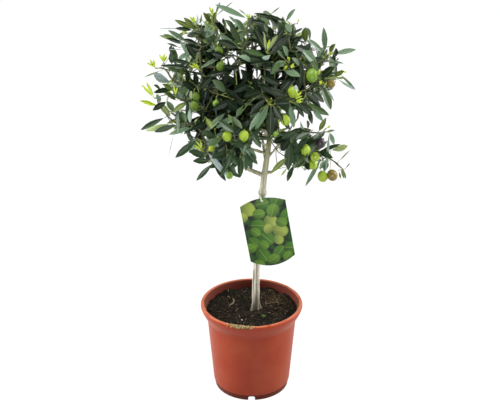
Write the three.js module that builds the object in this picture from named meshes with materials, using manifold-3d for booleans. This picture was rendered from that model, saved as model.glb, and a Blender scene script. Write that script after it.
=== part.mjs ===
// A potted olive tree, grown as a small standard: one clear trunk with a loose round head of
// foliage, in a nursery pot, with a picture label tied to the trunk.
// Millimetres, +Z up. The origin is in the middle of the pot's foot, on the ground, and the front
// of the tree looks towards -Y.
import * as THREE from "three";
import { mergeVertices } from "three/addons/utils/BufferGeometryUtils.js";
import Module from "manifold-3d";

const wasm = await Module();
wasm.setup();

// ---------------------------------------------------------------- driving dimensions

const GAP = 0.3; // left between two pieces that touch

// The pot: a tapered wall under a flared lip, on an inset foot ring with four drain notches.
const POT_RADIUS = 90; // over the lip
const POT_HEIGHT = 162;
const POT_WALL = 1.8;
const POT_SIDES = 36;
const FOOT_RADIUS = 64.6; // at the ground
const FOOT_WIDTH = 3; // of the ring it stands on
const FOOT_HEIGHT = 10.8; // up to the step in the wall
const BASE_UNDERSIDE = 9.6; // height of the floor's underside
const NOTCH_WIDTH = 12;
const NOTCH_HEIGHT = 8.6;
const NOTCH_BEARINGS = [0, 90, 180, 270];

// The compost, which fills the pot to just under its lip.
const SOIL_EDGE = 148; // height against the wall
const SOIL_TOP = 149.5; // height round the trunk

// The trunk leans to the right. It has a flared foot, and ends where it forks in the head.
const TRUNK_FOOT = [7, -3]; // x, y on the compost
const TRUNK_FORK = [30, 4, 468];
const TRUNK_RADIUS = 6.9; // above the flare
const TRUNK_TOP_RADIUS = 4.6;
const TRUNK_BEND = 2; // above 1, it stands straight at first and leans more above
const FLARE = 5; // how far the foot spreads past that radius
const FLARE_HEIGHT = 11;
const ROOT_COUNT = 3; // roots that show in the flare
const ROOT_DEPTH = 0.35; // how much they deepen it
const ROOT_TURN = 20; // degrees
const TRUNK_SIDES = 12;
const TRUNK_STEPS = 18;

// The head, as a whole. It is twice as wide as these half sizes, and centred over the pot.
const HEAD_HALF_WIDTH = 180;
const HEAD_HALF_DEPTH = 165;
const HEAD_TOP = 693;

// The label: a printed card with arched ends, tilted and slightly curled, with a tie through it.
const LABEL_WIDTH = 78;
const LABEL_SIDE = 104; // length of its straight sides
const LABEL_ARCH = 11.5; // how far each end arches past them
const LABEL_THICKNESS = 1;
const LABEL_CURL = 190; // radius it curls to
const LABEL_CURL_SIDES = 128; // of the whole circle
const LABEL_TILT = 10; // degrees, its top leaning to the left
const LABEL_CENTRE = [27.5, -13, 303.6];
const TIE_HEIGHT = 371; // where it goes round the trunk
const TIE_RADIUS = 0.9;
const TIE_HOLE = 2.6; // radius of the hole that the tie goes through
const TIE_HOLE_INSET = 6; // from the top of the arch to the hole

const rad = THREE.MathUtils.degToRad;

// ---------------------------------------------------------------- solids and cuts

// A three.js geometry as a manifold-3d solid.
function solidOf(geometry) {
  const bare = geometry.index ? geometry.toNonIndexed() : geometry.clone();
  const points = new THREE.BufferGeometry().setAttribute("position", bare.getAttribute("position"));
  const merged = mergeVertices(points, 1e-3);
  return new wasm.Manifold(
    new wasm.Mesh({
      numProp: 3,
      vertProperties: new Float32Array(merged.attributes.position.array),
      triVerts: new Uint32Array(merged.index.array),
    }),
  );
}

// A manifold-3d solid as a three.js geometry.
function geometryOf(solid) {
  const mesh = solid.getMesh();
  const stride = mesh.numProp;
  const positions = new Float32Array(mesh.numVert * 3);
  for (let i = 0; i < mesh.numVert; i++) {
    positions.set(mesh.vertProperties.subarray(i * stride, i * stride + 3), i * 3);
  }
  return new THREE.BufferGeometry()
    .setAttribute("position", new THREE.BufferAttribute(positions, 3))
    .setIndex(new THREE.BufferAttribute(new Uint32Array(mesh.triVerts), 1));
}

// The largest of several bodies. A cut piece keeps only that, so that it leaves no loose scraps.
const largest = (bodies) => bodies.reduce((best, body) => (body.volume() > best.volume() ? body : best));

// ---------------------------------------------------------------- materials

const material = (color, roughness) =>
  new THREE.MeshStandardMaterial({ color, roughness, metalness: 0 });
const TERRACOTTA = material(0xa2482e, 0.5);
const COMPOST = material(0x2a241b, 0.95);
const BARK = material(0x9b9382, 0.8);
const YOUNG_BARK = material(0x857d60, 0.75);
const FOLIAGE = material(0x46573f, 0.6);
const PRINTED_CARD = material(0x5f8a3a, 0.3);
const TIE_PLASTIC = material(0xe6e4dc, 0.4);

const tree = new THREE.Group();

function addPiece(name, geometry, finish) {
  const mesh = new THREE.Mesh(geometry, finish);
  mesh.name = name;
  tree.add(mesh);
  return mesh;
}

// ---------------------------------------------------------------- pot and compost

// A closed profile of [radius, height] pairs turned about the pot's axis.
function turned(profile) {
  const lathe = new THREE.LatheGeometry(
    profile.map(([r, z]) => new THREE.Vector2(r, z)),
    POT_SIDES,
  );
  return lathe.rotateX(Math.PI / 2);
}

// The outside of the pot from the ground up: foot, step, tapered wall, collar and flared lip.
const OUTSIDE = [
  [FOOT_RADIUS, 0],
  [FOOT_RADIUS + 2, FOOT_HEIGHT],
  [FOOT_RADIUS + 3.8, FOOT_HEIGHT + 0.8],
  [75.4, 95],
  [78.4, 133.6],
  [79.6, 135.2],
  [81.4, 139.5],
  [84.8, 145.5],
  [88.2, 152],
  [POT_RADIUS, 157.5],
  [POT_RADIUS - 0.6, 160.6],
];

// The inside, from the lip down to the floor.
const INSIDE = [
  [POT_RADIUS - 3.2, POT_HEIGHT],
  [POT_RADIUS - 6.4, 161.2],
  [81.2, 155],
  [78.6, 141],
  [76.6, 130],
  [75.4 - POT_WALL, 95],
  [67.2, BASE_UNDERSIDE + POT_WALL],
];

function pot() {
  const ring = FOOT_RADIUS - FOOT_WIDTH;
  const shell = solidOf(
    turned([
      [0, BASE_UNDERSIDE],
      [ring, BASE_UNDERSIDE],
      [ring, 0],
      ...OUTSIDE,
      ...INSIDE,
      [0, BASE_UNDERSIDE + POT_WALL],
    ]),
  );
  return NOTCH_BEARINGS.reduce((body, bearing) => {
    const arch = new THREE.Shape();
    const half = NOTCH_WIDTH / 2;
    const shoulder = NOTCH_HEIGHT - half / 2;
    arch.moveTo(-half, -1);
    arch.lineTo(half, -1);
    arch.lineTo(half, shoulder);
    arch.absellipse(0, shoulder, half, half / 2, 0, Math.PI, false);
    arch.lineTo(-half, shoulder);
    const notch = new THREE.ExtrudeGeometry(arch, { depth: 12, bevelEnabled: false, curveSegments: 6 });
    notch
      .rotateX(Math.PI / 2)
      .translate(0, FOOT_RADIUS + 6, 0)
      .rotateZ(rad(bearing - 90));
    return body.subtract(solidOf(notch));
  }, shell);
}

// The inside of the pot's wall at a height, from its profile.
function insideRadius(height) {
  const above = INSIDE.findLastIndex(([, z]) => z >= height);
  const [r1, z1] = INSIDE[above];
  const [r0, z0] = INSIDE[above + 1];
  return r0 + ((height - z0) / (z1 - z0)) * (r1 - r0);
}

function compost() {
  const floor = BASE_UNDERSIDE + POT_WALL + GAP;
  const heights = [floor + 0.2, 95, 130, SOIL_EDGE];
  const clear = 0.5; // to the wall, which a flat facet would otherwise touch
  return turned([
    [0, floor],
    [insideRadius(heights[0]) - clear, floor],
    ...heights.slice(1).map((z) => [insideRadius(z) - clear, z]),
    [40, SOIL_TOP],
    [0, SOIL_TOP],
  ]);
}

// ---------------------------------------------------------------- limbs

// A round bar with closed ends, bent along a curve. radiusAt gives its radius at 0 to 1 along it.
function limb(curve, radiusAt, sides, steps) {
  const bar = new THREE.CylinderGeometry(1, 1, 1, sides, steps);
  const frames = curve.computeFrenetFrames(steps, false);
  const at = bar.getAttribute("position");
  for (let i = 0; i < at.count; i++) {
    const step = Math.round((at.getY(i) + 0.5) * steps);
    const radius = radiusAt(step / steps);
    const place = curve.getPointAt(step / steps);
    place.addScaledVector(frames.normals[step], at.getX(i) * radius);
    place.addScaledVector(frames.binormals[step], -at.getZ(i) * radius);
    at.setXYZ(i, place.x, place.y, place.z);
  }
  return solidOf(bar);
}

const TRUNK_BASE = SOIL_TOP + GAP;
const TRUNK_HEIGHT = TRUNK_FORK[2] - TRUNK_BASE;

// The middle of the trunk at a share of its height. It leans more the higher it goes.
function trunkMiddle(share) {
  return new THREE.Vector3(
    THREE.MathUtils.lerp(TRUNK_FOOT[0], TRUNK_FORK[0], share ** TRUNK_BEND),
    THREE.MathUtils.lerp(TRUNK_FOOT[1], TRUNK_FORK[1], share ** TRUNK_BEND),
    TRUNK_BASE + TRUNK_HEIGHT * share,
  );
}

const trunkAt = (height) => trunkMiddle((height - TRUNK_BASE) / TRUNK_HEIGHT);

// The flare is deeper where a root runs out of it.
function trunkRadius(share, bearing) {
  const roots = 1 + ROOT_DEPTH * Math.cos(ROOT_COUNT * bearing - rad(ROOT_TURN));
  const flare = FLARE * roots * Math.exp((-share * TRUNK_HEIGHT) / FLARE_HEIGHT);
  return THREE.MathUtils.lerp(TRUNK_RADIUS, TRUNK_TOP_RADIUS, share) + flare;
}

// The trunk, grown all round by a gap when it is used to cut its neighbours.
function trunk(grow = 0) {
  const bar = new THREE.CylinderGeometry(1, 1, 1, TRUNK_SIDES, TRUNK_STEPS);
  const at = bar.getAttribute("position");
  for (let i = 0; i < at.count; i++) {
    const share = (at.getY(i) + 0.5) ** 1.6; // closer rings in the flare
    const spoke = Math.hypot(at.getX(i), at.getZ(i));
    const bearing = Math.atan2(-at.getZ(i), at.getX(i));
    const radius = spoke * (trunkRadius(share, bearing) + grow);
    const middle = trunkMiddle(share);
    at.setXYZ(
      i,
      middle.x + radius * Math.cos(bearing),
      middle.y + radius * Math.sin(bearing),
      middle.z + grow * (2 * share - 1),
    );
  }
  return solidOf(bar);
}

// ---------------------------------------------------------------- foliage

// Each mass: the middle and half sizes of its body, and the shoots that stand out of it, each
// a bearing (0 right, 90 back, 270 front), a rise in degrees, and how far it reaches past the body.
const MASSES = {
  foliage_top_left: {
    middle: [-60, -8, 630],
    half: [56, 60, 48],
    shoots: [[350, 76, 22], [250, 40, 14], [120, 50, 14]],
  },
  foliage_top_right: {
    middle: [46, 4, 624],
    half: [60, 62, 48],
    shoots: [[330, 64, 14], [20, 20, 10], [190, 72, 14]],
  },
  foliage_top_back: {
    middle: [-6, 84, 606],
    half: [60, 52, 50],
    shoots: [[80, 50, 14], [150, 30, 12]],
  },
  foliage_upper_left: {
    middle: [-106, -4, 584],
    half: [46, 60, 50],
    shoots: [[188, 58, 16], [178, -6, 22], [230, 16, 14]],
  },
  foliage_upper_right: {
    middle: [100, -6, 582],
    half: [46, 60, 46],
    shoots: [[2, 36, 26], [356, -30, 18], [40, 10, 12]],
  },
  foliage_front_left: {
    middle: [-58, -98, 568],
    half: [62, 58, 58],
    shoots: [[262, 14, 14], [222, 30, 12]],
  },
  foliage_front_right: {
    middle: [50, -98, 562],
    half: [60, 58, 58],
    shoots: [[276, 8, 14], [318, 34, 12]],
  },
  foliage_back_left: {
    middle: [-66, 84, 545],
    half: [60, 58, 60],
    shoots: [[106, 10, 26], [168, -12, 14]],
  },
  foliage_back_right: {
    middle: [60, 88, 548],
    half: [58, 58, 60],
    shoots: [[80, 4, 30], [30, 20, 12]],
  },
  foliage_heart: {
    middle: [2, -2, 558],
    half: [64, 60, 56],
    shoots: [],
  },
  foliage_left: {
    middle: [-118, -14, 506],
    half: [52, 60, 42],
    shoots: [[178, -20, 26], [200, -50, 12], [240, -10, 12]],
  },
  foliage_right: {
    middle: [88, -4, 526],
    half: [48, 56, 38],
    shoots: [[356, 30, 14], [320, 0, 12]],
  },
  foliage_low_left: {
    middle: [-70, -18, 450],
    half: [46, 52, 42],
    shoots: [[195, -52, 20], [290, -66, 14], [335, -40, 18]],
  },
  foliage_low_right: {
    middle: [98, -12, 436],
    half: [48, 52, 40],
    shoots: [[352, 16, 46], [350, -40, 24], [262, -78, 12], [190, -24, 14]],
  },
  foliage_low_front: {
    middle: [-14, -92, 504],
    half: [58, 50, 38],
    shoots: [[250, -20, 12], [300, -14, 12]],
  },
  foliage_low_back: {
    middle: [14, 88, 474],
    half: [66, 56, 50],
    shoots: [[100, -24, 14], [60, -10, 12], [140, -30, 14]],
  },
};

const MASS_DETAIL = 3; // subdivisions of the ball that each mass starts as
const LUMP = 0.09; // how uneven a mass is, as a share of its radius
const SHOOT_SPREAD = 0.045; // how narrow a shoot is: the drop in cosine over which it fades

// Uneven waves over a ball, different for each seed.
function lumps(direction, seed) {
  const { x, y, z } = direction;
  return (
    Math.sin(3.1 * x + 1.7 * seed + 2.3 * z) * Math.cos(2.7 * y - seed) +
    0.6 * Math.sin(5.3 * y + 2.9 * seed) * Math.sin(4.9 * z + 4.1 * x + seed)
  );
}

const towards = (bearing, rise) =>
  new THREE.Vector3(
    Math.cos(rad(rise)) * Math.cos(rad(bearing)),
    Math.cos(rad(rise)) * Math.sin(rad(bearing)),
    Math.sin(rad(rise)),
  );

// A mass before its neighbours cut it, grown all round by a gap when it is used as a cutter.
function wholeMass({ middle, half, shoots }, seed, grow = 0) {
  const ball = new THREE.IcosahedronGeometry(1, MASS_DETAIL);
  const at = ball.getAttribute("position");
  const ways = shoots.map(([bearing, rise, reach]) => ({ way: towards(bearing, rise), reach }));
  const direction = new THREE.Vector3();
  for (let i = 0; i < at.count; i++) {
    direction.fromBufferAttribute(at, i).normalize();
    const body = direction.clone().multiply(new THREE.Vector3(...half));
    const out = ways.reduce(
      (sum, { way, reach }) => sum + reach * Math.exp((way.dot(direction) - 1) / SHOOT_SPREAD),
      0,
    );
    body.multiplyScalar(1 + LUMP * lumps(direction, seed)).addScaledVector(direction, out + grow);
    at.setXYZ(i, middle[0] + body.x, middle[1] + body.y, middle[2] + body.z);
  }
  return solidOf(ball);
}

// Where two masses press together, each keeps its own side of the plane between them.
function apart(solid, mine, other) {
  const from = new THREE.Vector3(...mine.middle);
  const to = new THREE.Vector3(...other.middle);
  const way = from.clone().sub(to);
  const distance = way.length();
  way.normalize();
  const size = ({ half }) => (half[0] + half[1] + half[2]) / 3;
  const split = (distance ** 2 + size(other) ** 2 - size(mine) ** 2) / (2 * distance);
  const plane = way.dot(to) + split + GAP / 2;
  return solid.trimByPlane([way.x, way.y, way.z], plane);
}

// The head's own limits: its width, depth and height.
function insideHead(solid) {
  return [
    [[1, 0, 0], -HEAD_HALF_WIDTH],
    [[-1, 0, 0], -HEAD_HALF_WIDTH],
    [[0, 1, 0], -HEAD_HALF_DEPTH],
    [[0, -1, 0], -HEAD_HALF_DEPTH],
    [[0, 0, -1], -HEAD_TOP],
  ].reduce((body, [normal, offset]) => body.trimByPlane(normal, offset), solid);
}

// ---------------------------------------------------------------- boughs

// Each bough: its share of the way up the trunk, its radius there, the mass it feeds, how far
// its middle bows up or down, and how far from the middle of the mass it aims.
const BOUGHS = {
  bough_left: { from: 0.79, radius: 4.0, to: "foliage_low_left", bow: -4, aim: [0, 10, 0] },
  bough_right: { from: 0.785, radius: 2.8, to: "foliage_low_right", bow: -4, aim: [-8, 0, 22] },
  bough_back: { from: 0.86, radius: 3.0, to: "foliage_low_back", bow: -4, aim: [0, 0, 0] },
  bough_upper_left: { from: 0.91, radius: 2.6, to: "foliage_left", bow: -8, aim: [0, 0, 0] },
  bough_upper_right: { from: 0.88, radius: 2.2, to: "foliage_right", bow: -8, aim: [0, 0, 0] },
  bough_front: { from: 0.95, radius: 2.4, to: "foliage_low_front", bow: -4, aim: [0, 0, 10] },
  leader_left: { from: 1, radius: 3.2, to: "foliage_heart", bow: 0, aim: [-34, 0, 0] },
  leader_right: { from: 1, radius: 3.0, to: "foliage_heart", bow: 0, aim: [26, 6, 0] },
};
const BOUGH_TAPER = 0.6; // radius at the far end, as a share of the near end
const BOUGH_SIDES = 7;
const BOUGH_STEPS = 5;

function bough({ from, radius, to, bow, aim }, grow = 0) {
  const start = trunkMiddle(from);
  const end = new THREE.Vector3(...MASSES[to].middle).add(new THREE.Vector3(...aim));
  const elbow = start.clone().lerp(end, 0.5);
  elbow.z += bow;
  start.lerp(elbow, -grow / start.distanceTo(elbow));
  const curve = new THREE.QuadraticBezierCurve3(start, elbow, end);
  const radiusAt = (t) => radius * THREE.MathUtils.lerp(1, BOUGH_TAPER, t) + grow;
  return limb(curve, radiusAt, BOUGH_SIDES, BOUGH_STEPS);
}

// The largest body of a solid among those whose box comes within reach of a point.
function bodyAt(solid, point, reach) {
  const near = solid.decompose().filter((body) => {
    const { min, max } = body.boundingBox();
    const box = new THREE.Box3(new THREE.Vector3(...min), new THREE.Vector3(...max));
    return box.distanceToPoint(point) < reach;
  });
  return largest(near);
}

// ---------------------------------------------------------------- label and tie

function cardOutline() {
  const half = LABEL_WIDTH / 2;
  const side = LABEL_SIDE / 2;
  const card = new THREE.Shape();
  card.moveTo(-half, -side);
  card.quadraticCurveTo(0, -side - 2 * LABEL_ARCH, half, -side);
  card.lineTo(half, side);
  card.quadraticCurveTo(0, side + 2 * LABEL_ARCH, -half, side);
  card.closePath();
  return card;
}

const HOLE_RISE = LABEL_SIDE / 2 + LABEL_ARCH - TIE_HOLE_INSET; // above the card's middle

// The card is cut out of a tube, so that it curls about its own length, its middle foremost.
function label() {
  const height = LABEL_SIDE + 3 * LABEL_ARCH;
  const tube = (radius) =>
    solidOf(new THREE.CylinderGeometry(radius, radius, height, LABEL_CURL_SIDES).rotateX(Math.PI / 2));
  const shell = tube(LABEL_CURL).subtract(tube(LABEL_CURL - LABEL_THICKNESS).scale([1, 1, 1.1]));
  const cutter = new THREE.ExtrudeGeometry(cardOutline(), {
    depth: 24,
    bevelEnabled: false,
    curveSegments: 8,
  });
  cutter.rotateX(Math.PI / 2).translate(0, 18 - LABEL_CURL, 0);
  const hole = new THREE.CylinderGeometry(TIE_HOLE, TIE_HOLE, 24, 12);
  hole.translate(0, -LABEL_CURL, HOLE_RISE);
  const card = geometryOf(shell.intersect(solidOf(cutter)).subtract(solidOf(hole)));
  return card.translate(0, LABEL_CURL, 0).rotateY(-rad(LABEL_TILT)).translate(...LABEL_CENTRE);
}

// The tie goes round the trunk, and both its ends come together through the hole in the card.
function tie() {
  const hole = new THREE.Vector3(0, 0, HOLE_RISE)
    .applyAxisAngle(new THREE.Vector3(0, 1, 0), -rad(LABEL_TILT))
    .add(new THREE.Vector3(...LABEL_CENTRE));
  const around = trunkAt(TIE_HEIGHT);
  const reach = trunkRadius((TIE_HEIGHT - TRUNK_BASE) / TRUNK_HEIGHT, 0) + TIE_RADIUS + 2 * GAP;
  const threaded = [
    [1.2, LABEL_THICKNESS + 2.6, 0.4],
    [0, 0.5, 0.6],
    [-1.2, -2, 1.6],
    [-2.4, -1.6, TIE_HOLE_INSET + 1.5],
  ].map((offset) => hole.clone().add(new THREE.Vector3(...offset)));
  const round = [200, 155, 110, 70, 25, -20].map((bearing) => {
    const way = towards(bearing, 0);
    return around.clone().add(new THREE.Vector3(way.x * reach, way.y * reach, 2 * way.y));
  });
  const path = [...threaded, ...round];
  const curve = new THREE.CatmullRomCurve3(path, true);
  return new THREE.TubeGeometry(curve, 30, TIE_RADIUS, 5, true);
}

// ---------------------------------------------------------------- the tree

addPiece("pot", geometryOf(pot()), TERRACOTTA);
addPiece("compost", compost(), COMPOST);

const stem = trunk();
const stemCutter = trunk(GAP);
addPiece("trunk", geometryOf(stem), BARK);

const names = Object.keys(MASSES);
const shapes = names.map((name, i) => insideHead(wholeMass(MASSES[name], i + 1)));
names.forEach((name, i) => {
  const rest = names.filter((other, j) => j !== i && shapes[i].intersect(shapes[j]).volume() > 0);
  const own = rest.reduce((solid, other) => apart(solid, MASSES[name], MASSES[other]), shapes[i]);
  addPiece(name, geometryOf(largest(own.subtract(stemCutter).decompose())), FOLIAGE);
});

const massCutters = names.map((name, i) => insideHead(wholeMass(MASSES[name], i + 1, GAP)));
const grownBoughs = [];
for (const [name, spec] of Object.entries(BOUGHS)) {
  const clear = [stemCutter, ...massCutters, ...grownBoughs].reduce(
    (solid, cutter) => solid.subtract(cutter),
    bough(spec),
  );
  const own = bodyAt(clear, trunkMiddle(spec.from), 3 * spec.radius);
  addPiece(name, geometryOf(own), YOUNG_BARK);
  grownBoughs.push(bough(spec, GAP));
}

addPiece("label", label(), PRINTED_CARD);
addPiece("label_tie", tie(), TIE_PLASTIC);

export default tree;
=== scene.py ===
"""A potted olive tree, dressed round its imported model.

Lengths are in metres and in the model's own frame: +Z up, the front towards -Y, and the origin in
the middle of the pot's foot. Everything random comes from a seed, so each run gives the same tree.
"""

import logging
import math
import random
from dataclasses import dataclass, field
from enum import Enum
from typing import ClassVar

import bpy
import numpy as np
from mathutils import Matrix, Vector, noise
from mathutils.bvhtree import BVHTree


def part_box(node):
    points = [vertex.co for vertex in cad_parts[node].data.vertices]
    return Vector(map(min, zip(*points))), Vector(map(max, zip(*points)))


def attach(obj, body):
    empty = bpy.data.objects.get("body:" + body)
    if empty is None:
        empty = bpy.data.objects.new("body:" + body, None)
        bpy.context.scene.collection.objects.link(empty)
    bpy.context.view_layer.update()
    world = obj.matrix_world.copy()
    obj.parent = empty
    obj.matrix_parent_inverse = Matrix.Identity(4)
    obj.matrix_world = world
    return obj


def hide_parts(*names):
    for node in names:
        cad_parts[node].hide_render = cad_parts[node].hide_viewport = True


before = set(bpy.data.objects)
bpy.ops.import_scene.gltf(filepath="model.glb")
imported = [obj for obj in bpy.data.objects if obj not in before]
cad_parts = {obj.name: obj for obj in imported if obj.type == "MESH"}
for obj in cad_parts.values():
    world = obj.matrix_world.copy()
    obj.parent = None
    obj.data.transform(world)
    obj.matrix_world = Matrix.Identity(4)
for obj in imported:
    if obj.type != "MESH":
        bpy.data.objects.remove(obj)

MM = 0.001
UP = Vector((0.0, 0.0, 1.0))
log = logging.getLogger("olive_tree")

Socket = bpy.types.NodeSocket
Triple = tuple[float, float, float]
Rgba = tuple[float, float, float, float]


# ---- small tools


def srgb(red: int, green: int, blue: int) -> Rgba:
    """A colour of 0 to 255 values as the linear colour, with alpha, that shaders take.

    Args:
        red: Its red.
        green: Its green.
        blue: Its blue.

    Returns:
        The linear colour.
    """

    def linear(value: int) -> float:
        """One channel, made linear."""
        share = value / 255
        return share / 12.92 if share <= 0.04045 else ((share + 0.055) / 1.055) ** 2.4

    return linear(red), linear(green), linear(blue), 1.0


def deselect_all() -> None:
    """Leaves nothing selected, in object mode."""
    if bpy.context.object and bpy.context.object.mode != "OBJECT":
        bpy.ops.object.mode_set(mode="OBJECT")
    bpy.ops.object.select_all(action="DESELECT")


def make_active(piece: bpy.types.Object) -> None:
    """Selects one object alone and makes it the active one.

    Args:
        piece: The object.
    """
    deselect_all()
    piece.select_set(True)
    bpy.context.view_layer.objects.active = piece


def apply_modifier(piece: bpy.types.Object, kind: str, **settings: object) -> None:
    """Adds a modifier to a piece and applies it.

    Args:
        piece: The object to change.
        kind: The modifier's type.
        **settings: Its settings, by name.
    """
    make_active(piece)
    modifier = piece.modifiers.new(kind.lower(), kind)
    for key, value in settings.items():
        setattr(modifier, key, value)
    bpy.ops.object.modifier_apply(modifier=modifier.name)


def settle(piece: bpy.types.Object, name: str) -> bpy.types.Object:
    """Names a piece and puts its place into its mesh, so that its object sits at the origin.

    Args:
        piece: The finished object.
        name: Its new name, which its mesh takes too.

    Returns:
        The same object.
    """
    make_active(piece)
    bpy.ops.object.transform_apply(location=True, rotation=True, scale=True)
    piece.name = name
    piece.data.name = name
    return piece


def close_mesh() -> None:
    """Merges the doubled points of the mesh being edited, turns its faces outwards and ends editing."""
    bpy.ops.mesh.select_all(action="SELECT")
    bpy.ops.mesh.remove_doubles(threshold=0.01 * MM)
    bpy.ops.mesh.normals_make_consistent(inside=False)
    bpy.ops.object.mode_set(mode="OBJECT")


def perpendicular(way: Vector, hint: Vector) -> Vector:
    """The unit direction nearest to hint that stands square to way.

    Args:
        way: The direction to stand square to.
        hint: The direction to be near to.

    Returns:
        The direction.
    """
    side = hint - way * hint.dot(way)
    if side.length < 1e-6:
        side = way.orthogonal()
    return side.normalized()


def heading(degrees: float) -> Vector:
    """The level unit direction at that angle from +X."""
    return Vector((math.cos(math.radians(degrees)), math.sin(math.radians(degrees)), 0.0))


def lerp(start: float, end: float, share: float) -> float:
    """The value a share of the way from start to end."""
    return start + (end - start) * share


def pick(draw: random.Random, weights: dict) -> object:
    """Draws one of the keys, each as likely as its weight."""
    return draw.choices(list(weights), list(weights.values()))[0]


def gap_to_line(spot: Vector, start: Vector, end: Vector) -> tuple[Vector, float]:
    """The point of a line's stretch that lies nearest to a spot, and its distance.

    Args:
        spot: The spot.
        start: The line's start.
        end: Its end.

    Returns:
        The point and the distance.
    """
    along = end - start
    share = min(1.0, max(0.0, (spot - start).dot(along) / max(along.length_squared, 1e-9)))
    near = start.lerp(end, share)
    return near, (near - spot).length


def hand_over(pieces: list[bpy.types.Object], slot: str, *nodes: str) -> None:
    """Fixes finished pieces to the tree's one body, in place of its model's nodes.

    Args:
        pieces: The pieces.
        slot: The slot that they are dressed for; not used.
        *nodes: The nodes that they replace.
    """
    for piece in pieces:
        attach(piece, "root")
        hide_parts(*nodes)
        log.info("%s: %d faces", piece.name, len(piece.data.polygons))


def layered_noise(place: Vector, scale: float, layers: int = 3) -> float:
    """Smooth noise of several sizes at a place, roughly from -1 to 1."""
    return noise.fractal(place * scale, 1.0, 2.0, layers)


@dataclass
class MeshSoup:
    """Many small shapes gathered into one mesh, each face with the slot of its own finish."""

    points: list = field(default_factory=list)
    faces: list = field(default_factory=list)
    slots: list = field(default_factory=list)

    def add(self, points: list, faces: list, slot: int) -> None:
        """Adds one shape.

        Args:
            points: Its corners.
            faces: Its faces, as indexes into its own corners.
            slot: The slot of its finish.
        """
        first = len(self.points)
        self.points.extend(points)
        self.faces.extend([tuple(first + i for i in face) for face in faces])
        self.slots.extend([slot] * len(faces))

    def tube(self, path: list, radii: list, sides: int, slot: int) -> None:
        """Adds a closed tube along a path, with a radius at each of its points.

        Args:
            path: The points of its middle line.
            radii: The radius at each.
            sides: How many sides.
            slot: The slot of its finish.
        """
        normal = (path[1] - path[0]).orthogonal().normalized()
        points = []
        for i, centre in enumerate(path):
            ahead = path[min(i + 1, len(path) - 1)] - path[max(i - 1, 0)]
            way = ahead.normalized() if ahead.length > 1e-9 else UP
            normal = perpendicular(way, normal)
            points += circle(centre, way, normal, radii[i], sides)
        faces = hoops(len(path) - 1, len(path), sides)
        faces.append(tuple(reversed(range(sides))))
        faces.append(tuple(range((len(path) - 1) * sides, len(path) * sides)))
        self.add(points, faces, slot)

    def ring(self, path: list, hint: Vector, radius: float, sides: int) -> None:
        """Adds an even tube that runs round a path and back to its start, in the first slot.

        Args:
            path: The points of its middle line.
            hint: The direction that its first side is near to.
            radius: Its radius.
            sides: How many sides.
        """
        count = len(path)
        points = []
        for i, centre in enumerate(path):
            way = (path[(i + 1) % count] - path[i - 1]).normalized()
            points += circle(centre, way, perpendicular(way, hint), radius, sides)
        self.add(points, hoops(count, count, sides), 0)

    def build(self, name: str, finishes: list) -> bpy.types.Object:
        """Makes the mesh object.

        Args:
            name: The object's name.
            finishes: The finishes, in the order of their slots.

        Returns:
            The new object, smooth shaded.
        """
        mesh = bpy.data.meshes.new(name)
        mesh.from_pydata([tuple(p) for p in self.points], [], self.faces)
        return finish_mesh(mesh, name, np.array(self.slots, np.int32), finishes)


def circle(centre: Vector, way: Vector, normal: Vector, radius: float, sides: int) -> list[Vector]:
    """Evenly spaced points round a centre, square to way and from the side of normal on.

    Args:
        centre: The centre.
        way: The direction through it.
        normal: The direction of the first point.
        radius: The points' distance from it.
        sides: How many points.

    Returns:
        The points.
    """
    side = way.cross(normal)
    turns = [2 * math.pi * k / sides for k in range(sides)]
    return [centre + (normal * math.cos(turn) + side * math.sin(turn)) * radius for turn in turns]


def hoops(bands: int, circles: int, sides: int) -> list[tuple[int, int, int, int]]:
    """The faces of bands between neighbouring circles of points, where the last is next to the first.

    Args:
        bands: How many bands.
        circles: How many circles.
        sides: How many points each has.

    Returns:
        The faces, as numbers of points.
    """
    faces = []
    for i in range(bands):
        low, high = i * sides, (i + 1) % circles * sides
        faces += [(low + k, low + (k + 1) % sides, high + (k + 1) % sides, high + k) for k in range(sides)]
    return faces


def finish_mesh(mesh: bpy.types.Mesh, name: str, slots: np.ndarray, finishes: list) -> bpy.types.Object:
    """Dresses a mesh made in code and links its object.

    Args:
        mesh: The mesh.
        name: The object's name.
        slots: The slot of each face.
        finishes: The finishes, in the order of their slots.

    Returns:
        The new object, smooth shaded.
    """
    for finish in finishes:
        mesh.materials.append(finish.material())
    mesh.polygons.foreach_set("material_index", slots)
    mesh.polygons.foreach_set("use_smooth", np.ones(len(mesh.polygons), bool))
    mesh.update()
    piece = bpy.data.objects.new(name, mesh)
    bpy.context.scene.collection.objects.link(piece)
    return piece


# ---- finishes


class Wiring:
    """The nodes of a material or of the world, being wired up."""

    def __init__(self, owner: bpy.types.Material | bpy.types.World) -> None:
        """Starts on the nodes that the owner has by default."""
        owner.use_nodes = True
        self.tree = owner.node_tree

    def feed(self, socket: Socket, value: object) -> None:
        """Links an output to a socket, or sets the socket's own value.

        Args:
            socket: The socket to feed.
            value: The output or the value.
        """
        if isinstance(value, bpy.types.NodeSocket):
            self.tree.links.new(value, socket)
        else:
            socket.default_value = value

    def add(self, kind: str, inputs: dict, **settings: object) -> bpy.types.Node:
        """Adds a node.

        Args:
            kind: The node's type, without its ShaderNode prefix.
            inputs: Values or outputs for its sockets, by name or number.
            **settings: The node's own settings.

        Returns:
            The node.
        """
        node = self.tree.nodes.new("ShaderNode" + kind)
        for key, value in settings.items():
            setattr(node, key, value)
        for key, value in inputs.items():
            self.feed(node.inputs[key], value)
        return node

    def show_apart(self, plain: Socket, seen: Socket, output: str) -> None:
        """Ends in one shader where the camera sees it, and in a plain one for all other light.

        Args:
            plain: The shader for all other light.
            seen: The shader that is seen.
            output: The name of the last node.
        """
        path = self.add("LightPath", {})
        blend = self.add("MixShader", {0: path.outputs["Is Camera Ray"], 1: plain, 2: seen})
        self.feed(self.tree.nodes[output].inputs[0], blend.outputs[0])


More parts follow.
